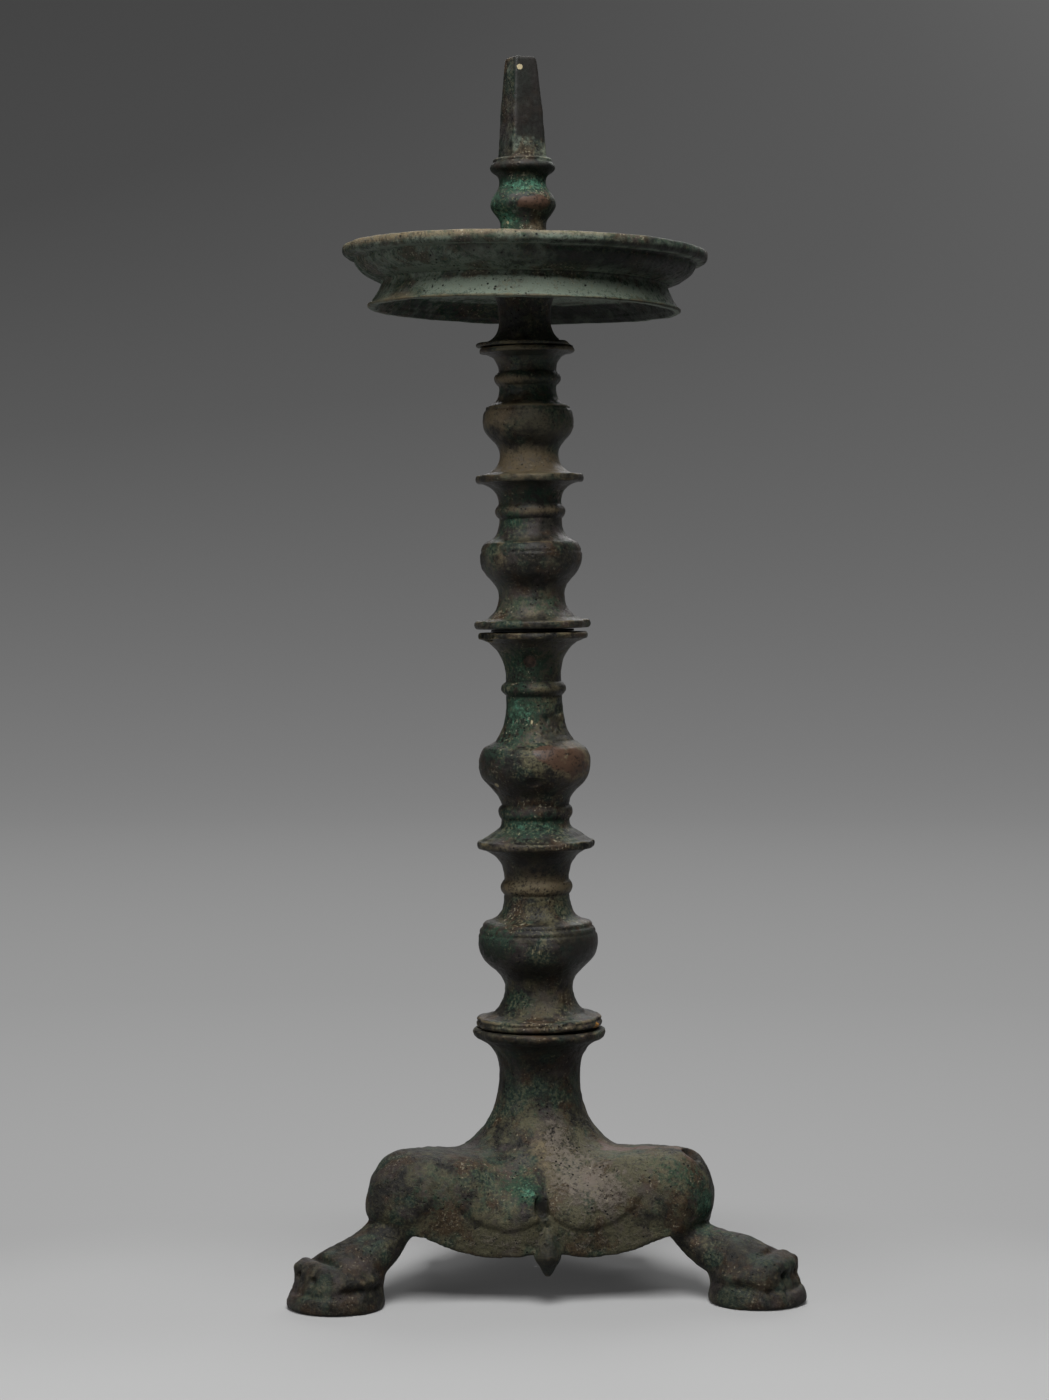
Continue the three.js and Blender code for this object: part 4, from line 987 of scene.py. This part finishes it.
# Pan collar: a short spool of cast bronze with a thin flange below. The tang runs through its bore, and it
# lifts the pan off the shaft.
COLLAR_LEAN = -0.9
COLLAR_PLACE = np.array([-5.8554, STAND_AXIS[1], 382.3515])
COLLAR_BORE = 5.3
COLLAR_HEIGHT = 21.3
COLLAR_FLANGE = (20.2, 0.7, 1.5, 17.6)
collar_line = [(COLLAR_BORE, 0)]
flange(collar_line, *COLLAR_FLANGE)
cove(collar_line, 10.6, 9)
flare(collar_line, 13, COLLAR_HEIGHT - 10.5)
collar_line += [(COLLAR_BORE, COLLAR_HEIGHT), (COLLAR_BORE, 0.4)]
collar_points, collar_faces = turned_skin(collar_line, 0.6, columns=144, closed=True)
collar_free = ease(collar_points[:, 2], 0.2, 1.2) * ease(COLLAR_HEIGHT - collar_points[:, 2], 0.2, 1.6)
collar_free *= ease(np.hypot(collar_points[:, 0], collar_points[:, 1]), COLLAR_BORE + 1, COLLAR_BORE + 3)
collar_points = aged(collar_points, collar_faces, 40, 0.25, 0.16, 0.08, collar_free)
collar_points = chip(collar_points, 80, 1.4, 8, 1.2, 2.6)
hollow_grime_and_shade, rubbed_and_highlit = wear(collar_points, collar_faces)
collar_marks = {
    "hollow_grime_and_shade": hollow_grime_and_shade,
    "rubbed_and_highlit": 0.7 * rubbed_and_highlit,
    "verdigris": np.full(len(collar_points), 0.15),
}
pan_collar = put_in_stand(
    "pan_collar_cast", collar_points, collar_faces, COLLAR_PLACE, COLLAR_LEAN, dark_patina, collar_marks
)
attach(pan_collar, "collar")
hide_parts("pan_collar")

# Drip pan: a thin dish of cast bronze with a rolled rim, a sharp waist and a flaring skirt, turned true
# below. It lies loose on the collar under the pricket's foot, a degree lower on the right.
PAN_LEAN = 1.0
PAN_PLACE = np.array([-6.2015, STAND_AXIS[1], 404.3798])
PAN_HOLE = 5.8
PAN_FLOOR = 3.5
PAN_TURNED_RINGS = (24, 33, 40, 46, 50)
pan_line = [(PAN_HOLE, 0), (53, 0)]
pan_line.extend(bow((53, 0), (55.8, 0), (61.1, -7.5)))
pan_line.append((63.1, -7.5))
bead(pan_line, 63.9, 1.6)
pan_line.extend(bow(pan_line[-1], (58.6, 0), (58.6, 3.2)))
pan_line.extend(bow((58.6, 3.2), (68.6, 6), (69.8, 12)))
pan_line.append((70.2, 12.4))
pan_line.extend(bow((70.2, 12.4), (74, 12.2), (74.2, 15)))
pan_line.extend(bow((74.2, 15), (74.2, 17.4), (72.7, 17.4)))
pan_line.extend(bow((72.7, 17.4), (71, 17.4), (71, 15.8)))
pan_line.extend(bow((71, 15.8), (65.2, 6.5), (53, 3)))
pan_line += [(17.5, 3), (17, PAN_FLOOR), (PAN_HOLE, PAN_FLOOR), (PAN_HOLE, 0.6)]
pan_points, pan_faces = turned_skin(pan_line, 0.72, columns=320, closed=True)
pan_radius = np.hypot(pan_points[:, 0], pan_points[:, 1])
for ring_radius in PAN_TURNED_RINGS:
    under = (pan_points[:, 2] < 1.2) * np.exp(-(((pan_radius - ring_radius) / 0.9) ** 2))
    pan_points[:, 2] -= 0.45 * under
pan_free = ease(pan_radius, 18, 22)
pan_points = aged(pan_points, pan_faces, 50, 0.28, 0.16, 0.08, pan_free)
pan_outside = pan_radius > 57
pan_lines = scored(pan_points, (-5.4, 0.45, 0.5), (-3.9, 0.25, 0.5), (2.2, 0.3, 0.6), (11.6, 0.5, 0.6))
pan_points = np.where(pan_outside[:, None], pan_lines, pan_points)
pan_points[:, 2] += 0.35 * lumps(pan_points * (1, 1, 0), 45, 55) * ease(pan_radius, 50, 70)
hollow_grime_and_shade, rubbed_and_highlit = wear(pan_points, pan_faces)
pan_down = -facing(pan_points, pan_faces)[:, 2]
pan_marks = {
    "hollow_grime_and_shade": 0.35 * hollow_grime_and_shade,
    # Painted shade: darker on faces turned down, far more towards the right, and not on the flat underside.
    "under": ease(pan_down, 0.0, 0.6) * (0.08 + 0.92 * ease(pan_points[:, 0], -35, 40))
    - ease(pan_down, 0.85, 0.98),
    "rubbed_and_highlit": rubbed_and_highlit,
    "verdigris": 0.16 + spots(pan_points, (0.1, 40, -3, 40, 6), (0.3, -130, 10, 60, 12)),
    "earth_and_painted_light": spots(pan_points, (0.35, -60, 16, 40, 3), (0.25, -5, -3, 30, 5)),
    "pale_and_painted_light": spots(pan_points, (1.8, 8, -3, 90, 6), (1.0, -45, 9, 45, 6), (0.5, 0, 15, 60, 3))
    + 0.8 * ease(pan_down, 0.85, 0.98),
    "tan": spots(pan_points, (0.9, -55, 17, 50, 3), (0.5, 10, 17, 60, 2), (0.5, -60, -6, 40, 3)),
    "sleek_and_painted_shade": 0.2 * ease(pan_points[:, 2], 2, 5),
}
# Green patina: the oxide with more copper carbonate in it, which turns it grey-green, pale on the skirt.
green_patina = patinated_bronze(
    "bronze_green_patina", "#0d110d", "#1f2821", "#737e70", 0.2, 0.5, 0.0005, 0.6, 0.6
)
drip_pan = put_in_stand(
    "drip_pan_cast", pan_points, pan_faces, PAN_PLACE, PAN_LEAN, green_patina, pan_marks
)
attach(drip_pan, "pan")
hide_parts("drip_pan")

# Pricket: one bronze casting from tang to tip. A round foot, knop and collar carry a square spike with blunt
# edges, hammered and filed, whose left face stayed rough. The tang holds pan and collar on the upper shaft.
PRICKET_LEAN = -0.9
PRICKET_PLACE = np.array([-6.2685, STAND_AXIS[1], 408.6435])
PRICKET_GRAIN = 0.42
TANG_LENGTH = 45.3
SPIKE_TURN = 24
SPIKE_FOOT = 49.6
SPIKE_HEIGHT = 41.4
SPIKE_WIDE, SPIKE_NARROW = 15.1, 9.7
SPIKE_TIP = 1.5
SPIKE_EDGE = 14
pricket_line = [(SHUT, -TANG_LENGTH), (4, -TANG_LENGTH), (4.6, -0.2), (4.6, 0), (14, 0), (14, 2.2)]
cove(pricket_line, 9.4, 20.7)
pricket_line.extend(bow((9.4, 22.9), (9.4, 26.3), (13.4, 28.1), (13.4, 31.5), steps=24))
pricket_line.extend(bow((13.4, 31.5), (13.4, 35), (9.4, 36.7), (9.4, 40.2), steps=24))
flare(pricket_line, 11, 3.8)
roll(pricket_line, 13.1, 4.6)
bead(pricket_line, 11.9, 1.2)
pricket_line.append((SHUT, pricket_line[-1][1]))


def spike_rings():
    """Square sections with blunt edges, slightly full in the middle, rounded over at the tip."""
    rings = []
    straight = SPIKE_HEIGHT - SPIKE_TIP
    tip_rises = straight + SPIKE_TIP * np.sin(np.linspace(0.15, 1.5, 8))
    turn = np.arange(96) * 2 * math.pi / 96
    full = np.abs(np.cos(turn)) ** SPIKE_EDGE + np.abs(np.sin(turn)) ** SPIKE_EDGE
    full = full ** (-1 / SPIKE_EDGE)
    for rise in np.concatenate([np.linspace(0, straight, 41), tip_rises]):
        share = min(rise / straight, 1)
        half = (SPIKE_WIDE + (SPIKE_NARROW - SPIKE_WIDE) * share) / 2 + 0.4 * math.sin(math.pi * share)
        if rise > straight:
            half -= 1.6 * (1 - math.sqrt(max(0, 1 - ((rise - straight) / SPIKE_TIP) ** 2)))
        x, y = half * full * np.cos(turn), half * full * np.sin(turn)
        rings.append(np.stack([x, y, 0 * x + SPIKE_FOOT + rise], -1))
    first, last = rings[0] * (0.001, 0.001, 1), rings[-1] * (0.001, 0.001, 1)
    return turned_about(np.array([first, *rings, last]), SPIKE_TURN)


pricket_block = ((-17, -17, -48), (17, 17, 95), PRICKET_GRAIN)
pricket_body, pricket_first = wax_field([round_rings(np.array(pricket_line, float))], *pricket_block)
pricket_body = melted(pricket_body, wax_field([spike_rings()], *pricket_block)[0], 1.2)
pricket_points, pricket_faces = wax_skin(pricket_body, pricket_first, PRICKET_GRAIN)
pricket_free = ease(pricket_points[:, 2], 1.2, 3)
pricket_points = aged(pricket_points, pricket_faces, 60, 0.22, 0.16, 0.07, pricket_free)
hollow_grime_and_shade, rubbed_and_highlit = wear(pricket_points, pricket_faces)
pricket_marks = {
    "hollow_grime_and_shade": 0.6 * hollow_grime_and_shade,
    # Painted shade: bands round the collar bead and the knop, at the spike's foot, and down one face of the
    # spike.
    "under": spots(
        pricket_points, (0.9, 0, 46, 30, 3.5), (0.8, -60, 70, 8, 20), (0.3, 0, 39, 20, 3),
        (0.3, 10, 53, 14, 3),
    ),
    "rubbed_and_highlit": 0.55 * rubbed_and_highlit,
    "verdigris": spots(
        pricket_points, (0.85, 0, 38.8, 16, 3.8), (0.75, -50, 24, 9, 6), (0.4, -70, 31, 8, 5),
        (0.9, 170, 38, 14, 8),
    ),
    "cuprite": spots(pricket_points, (1.2, 15, 31, 8, 3)),
    "earth_and_painted_light": spots(pricket_points, (0.4, 40, 20, 9, 5), (0.2, 0, 51.5, 14, 3), (0.2, -40, 66, 7, 14)),
    "lime": spots(
        pricket_points, (1.1, -8, 86.3, 1.1, 1.1), (0.3, 5, 50.6, 9, 0.7), (0.7, -45, 23.5, 0.9, 1.0),
    ),
    "pale_and_painted_light": spots(pricket_points, (0.3, 10, 54, 12, 5)),
    "tan": spots(
        pricket_points, (0.35, -50, 70, 7, 22), (0.4, 20, 52, 12, 3), (0.2, 0, 47, 30, 3),
        (0.7, 40, 20, 8, 6),
    ),
    "sleek_and_painted_shade": ease(pricket_points[:, 2], 55, 60) * ease(pricket_points[:, 0], -4.5, -2),
}
pricket = put_in_stand(
    "pricket_cast", pricket_points, pricket_faces, PRICKET_PLACE, PRICKET_LEAN, green_patina, pricket_marks
)
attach(pricket, "spike")
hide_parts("pricket")

# Studio: a round sweep of matt grey paper which, away from the stand, glows pale on the floor and darker up
# the wall:
# painted fall-off of the light. One large soft lamp is hung overhead, a small one stands at the left, and a
# wide one behind the stand lights its back.
PAPER_COLUMNS = 96
PAPER_FLAT, PAPER_REACH, PAPER_BEND, PAPER_TOP = 2.4, 3.6, 1.2, 2.6
PAPER_FALL = (
    (0, "#a9a9a9"), (0.2, "#a8a8a8"), (0.91, "#989898"), (2.41, "#858585"), (3.13, "#757575"),
    (4.07, "#585858"), (4.72, "#494949"), (5.6, "#414141"),
)
floor_mesh = bpy.data.meshes.new("paper_floor")
bend = bow((PAPER_FLAT, 0), (PAPER_REACH, 0), (PAPER_REACH, PAPER_BEND))
sweep = np.concatenate([[(0.001, 0), (PAPER_FLAT, 0)], bend, [(PAPER_REACH, PAPER_TOP)]])
floor_points = round_rings(sweep, PAPER_COLUMNS).reshape(-1, 3)
floor_faces = ring_faces(len(sweep), PAPER_COLUMNS)[:, ::-1]
floor_mesh.from_pydata(floor_points.tolist(), [], floor_faces.tolist())
floor_mesh.polygons.foreach_set("use_smooth", np.ones(len(floor_mesh.polygons), bool))
paper_floor = bpy.data.objects.new("paper_floor", floor_mesh)
bpy.context.scene.collection.objects.link(paper_floor)

# Matt paper: rays that are seen find a glow that falls from floor to wall, painted fall-off of the light, and
# only near the stand a surface that takes shadow. Rays that only carry light find it darker, so that it
# doesn't flood the metal.
paper, paper_tree, paper_place = blank_material("matt_grey_paper")
paper_x, paper_y, paper_z = node(paper_tree, "ShaderNodeSeparateXYZ", {0: paper_place}).outputs
paper_flat = node(paper_tree, "ShaderNodeCombineXYZ", {0: paper_x, 1: paper_y}).outputs[0]
paper_out = node(paper_tree, "ShaderNodeVectorMath", {0: paper_flat}, operation="LENGTH").outputs["Value"]
paper_run = node(paper_tree, "ShaderNodeMath", {0: paper_out, 1: paper_z}, operation="ADD").outputs[0]
# The glow is darker towards the top left: painted fall-off of the light.
paper_high = node(paper_tree, "ShaderNodeMath", {0: paper_z, 1: 2.0}, operation="POWER").outputs[0]
paper_painted_side_shade = node(paper_tree, "ShaderNodeMath", {0: paper_x, 1: -0.65}, operation="MULTIPLY").outputs[0]
links = {0: paper_high, 1: paper_painted_side_shade, 2: paper_run}
paper_run = node(paper_tree, "ShaderNodeMath", links, operation="MULTIPLY_ADD").outputs[0]
links = {0: paper_run, 1: PAPER_FALL[-1][0]}
paper_share = node(paper_tree, "ShaderNodeMath", links, operation="DIVIDE").outputs[0]
paper_fall = node(paper_tree, "ShaderNodeValToRGB", {0: paper_share})
while len(paper_fall.color_ramp.elements) < len(PAPER_FALL):
    paper_fall.color_ramp.elements.new(0.5)
for stop, (run, shade) in zip(paper_fall.color_ramp.elements, PAPER_FALL):
    stop.position, stop.color = run / PAPER_FALL[-1][0], tone(shade)
paper_glow = node(paper_tree, "ShaderNodeEmission", {0: paper_fall.outputs[0]}).outputs[0]

links = {0: paper_y, 1: 1.3, 2: paper_run}
paper_behind = node(paper_tree, "ShaderNodeMath", links, operation="MULTIPLY_ADD").outputs[0]
paper_parts = {}
# Shares of the paper's parts. Behind the stand the glow takes over sooner, so that the stand's shadow there
# is lost in it, and it never falls below a tenth, which lifts the shadow under the stand: painted light.
for part, source, low, high, least in (
    ("front", paper_y, -0.08, -0.2, 0),
    ("outer", paper_run, 0.4, 0.9, 0),
    ("behind", paper_behind, 0.15, 0.36, 0.1),
    ("wide", paper_run, 0.3, 0.6, 0),
):
    links = {0: source, 1: low, 2: high, 3: least}
    paper_parts[part] = node(
        paper_tree, "ShaderNodeMapRange", links, interpolation_type="SMOOTHSTEP"
    ).outputs[0]
paper_rays = node(paper_tree, "ShaderNodeLightPath").outputs
paper_seen = paper_rays["Is Camera Ray"]
for ray in ("Is Glossy Ray", "Is Transmission Ray"):
    links = {0: paper_seen, 1: paper_rays[ray]}
    paper_seen = node(paper_tree, "ShaderNodeMath", links, operation="MAXIMUM").outputs[0]
paper_tone = tone("#979797")
for part, shade in (("front", "#9c9c9c"), ("outer", "#5a5a5a")):
    links = {0: paper_parts[part], 6: paper_tone, 7: tone(shade)}
    paper_tone = node(paper_tree, "ShaderNodeMix", links, data_type="RGBA").outputs[2]
links = {0: paper_seen, 6: tone("#646464"), 7: paper_tone}
paper_tone = node(paper_tree, "ShaderNodeMix", links, data_type="RGBA").outputs[2]
paper_skin = node(paper_tree, "ShaderNodeBsdfDiffuse", {"Color": paper_tone}).outputs[0]
links = {0: paper_parts["behind"], 1: paper_parts["wide"]}
paper_far = node(paper_tree, "ShaderNodeMath", links, operation="MAXIMUM").outputs[0]
links = {0: paper_far, 1: paper_seen}
paper_far = node(paper_tree, "ShaderNodeMath", links, operation="MULTIPLY").outputs[0]
links = {0: paper_far, 1: paper_skin, 2: paper_glow}
paper_surface = node(paper_tree, "ShaderNodeMixShader", links).outputs[0]
node(paper_tree, "ShaderNodeOutputMaterial", {"Surface": paper_surface})
floor_mesh.materials.append(paper)

world = bpy.data.worlds.new("studio_air")
bpy.context.scene.world = world
world.use_nodes = True
world.node_tree.nodes["Background"].inputs["Color"].default_value = tone("#bcbcbc")
world.node_tree.nodes["Background"].inputs["Strength"].default_value = 0.17

for lamp_name, wide, long, power, place, aim in (
    ("overhead_softbox", 0.7, 1.2, 40.5, (-0.08, -0.68, 1.53), (0, 0, 0.2)),
    ("left_softbox", 0.9, 0.9, 5.5, (-1.6, -0.9, 0.6), (0, 0, 0.25)),
    ("back_softbox", 2.0, 1.2, 24, (0.5, 2.1, 1.7), (0, 0, 0.2)),
):
    lamp = bpy.data.lights.new(lamp_name, "AREA")
    lamp.shape, lamp.size, lamp.size_y, lamp.energy = "RECTANGLE", wide, long, power
    holder = bpy.data.objects.new(lamp_name, lamp)
    bpy.context.scene.collection.objects.link(holder)
    holder.location = place
    direction = np.array(aim) - place
    pitch = math.atan2(math.hypot(direction[0], direction[1]), -direction[2])
    holder.rotation_euler = (pitch, 0, math.atan2(direction[1], direction[0]) - math.pi / 2)

# Camera: a long lens a little above the shafts' middle joint, turned a few degrees to the left and tipped
# slightly down, so that the stand fills the frame as in the photo.
CAMERA_BACK, CAMERA_ASIDE, CAMERA_HEIGHT = 1.29, -0.00614, 0.2832
SENSOR_WIDTH, LENS_LENGTH = 36, 81
camera_turn, camera_pitch = math.radians(-3.5), math.radians(2.0)
camera = bpy.data.objects.new("camera", bpy.data.cameras.new("camera"))
bpy.context.scene.collection.objects.link(camera)
camera.data.sensor_width, camera.data.lens = SENSOR_WIDTH, LENS_LENGTH
camera.location = (
    STAND_AXIS[0] / 1000 + math.sin(camera_turn) * CAMERA_BACK + math.cos(camera_turn) * CAMERA_ASIDE,
    STAND_AXIS[1] / 1000 - math.cos(camera_turn) * CAMERA_BACK + math.sin(camera_turn) * CAMERA_ASIDE,
    CAMERA_HEIGHT,
)
camera.rotation_euler = (math.pi / 2 - camera_pitch, 0, camera_turn)
bpy.context.scene.camera = camera
bpy.context.scene.view_settings.view_transform = "Standard"
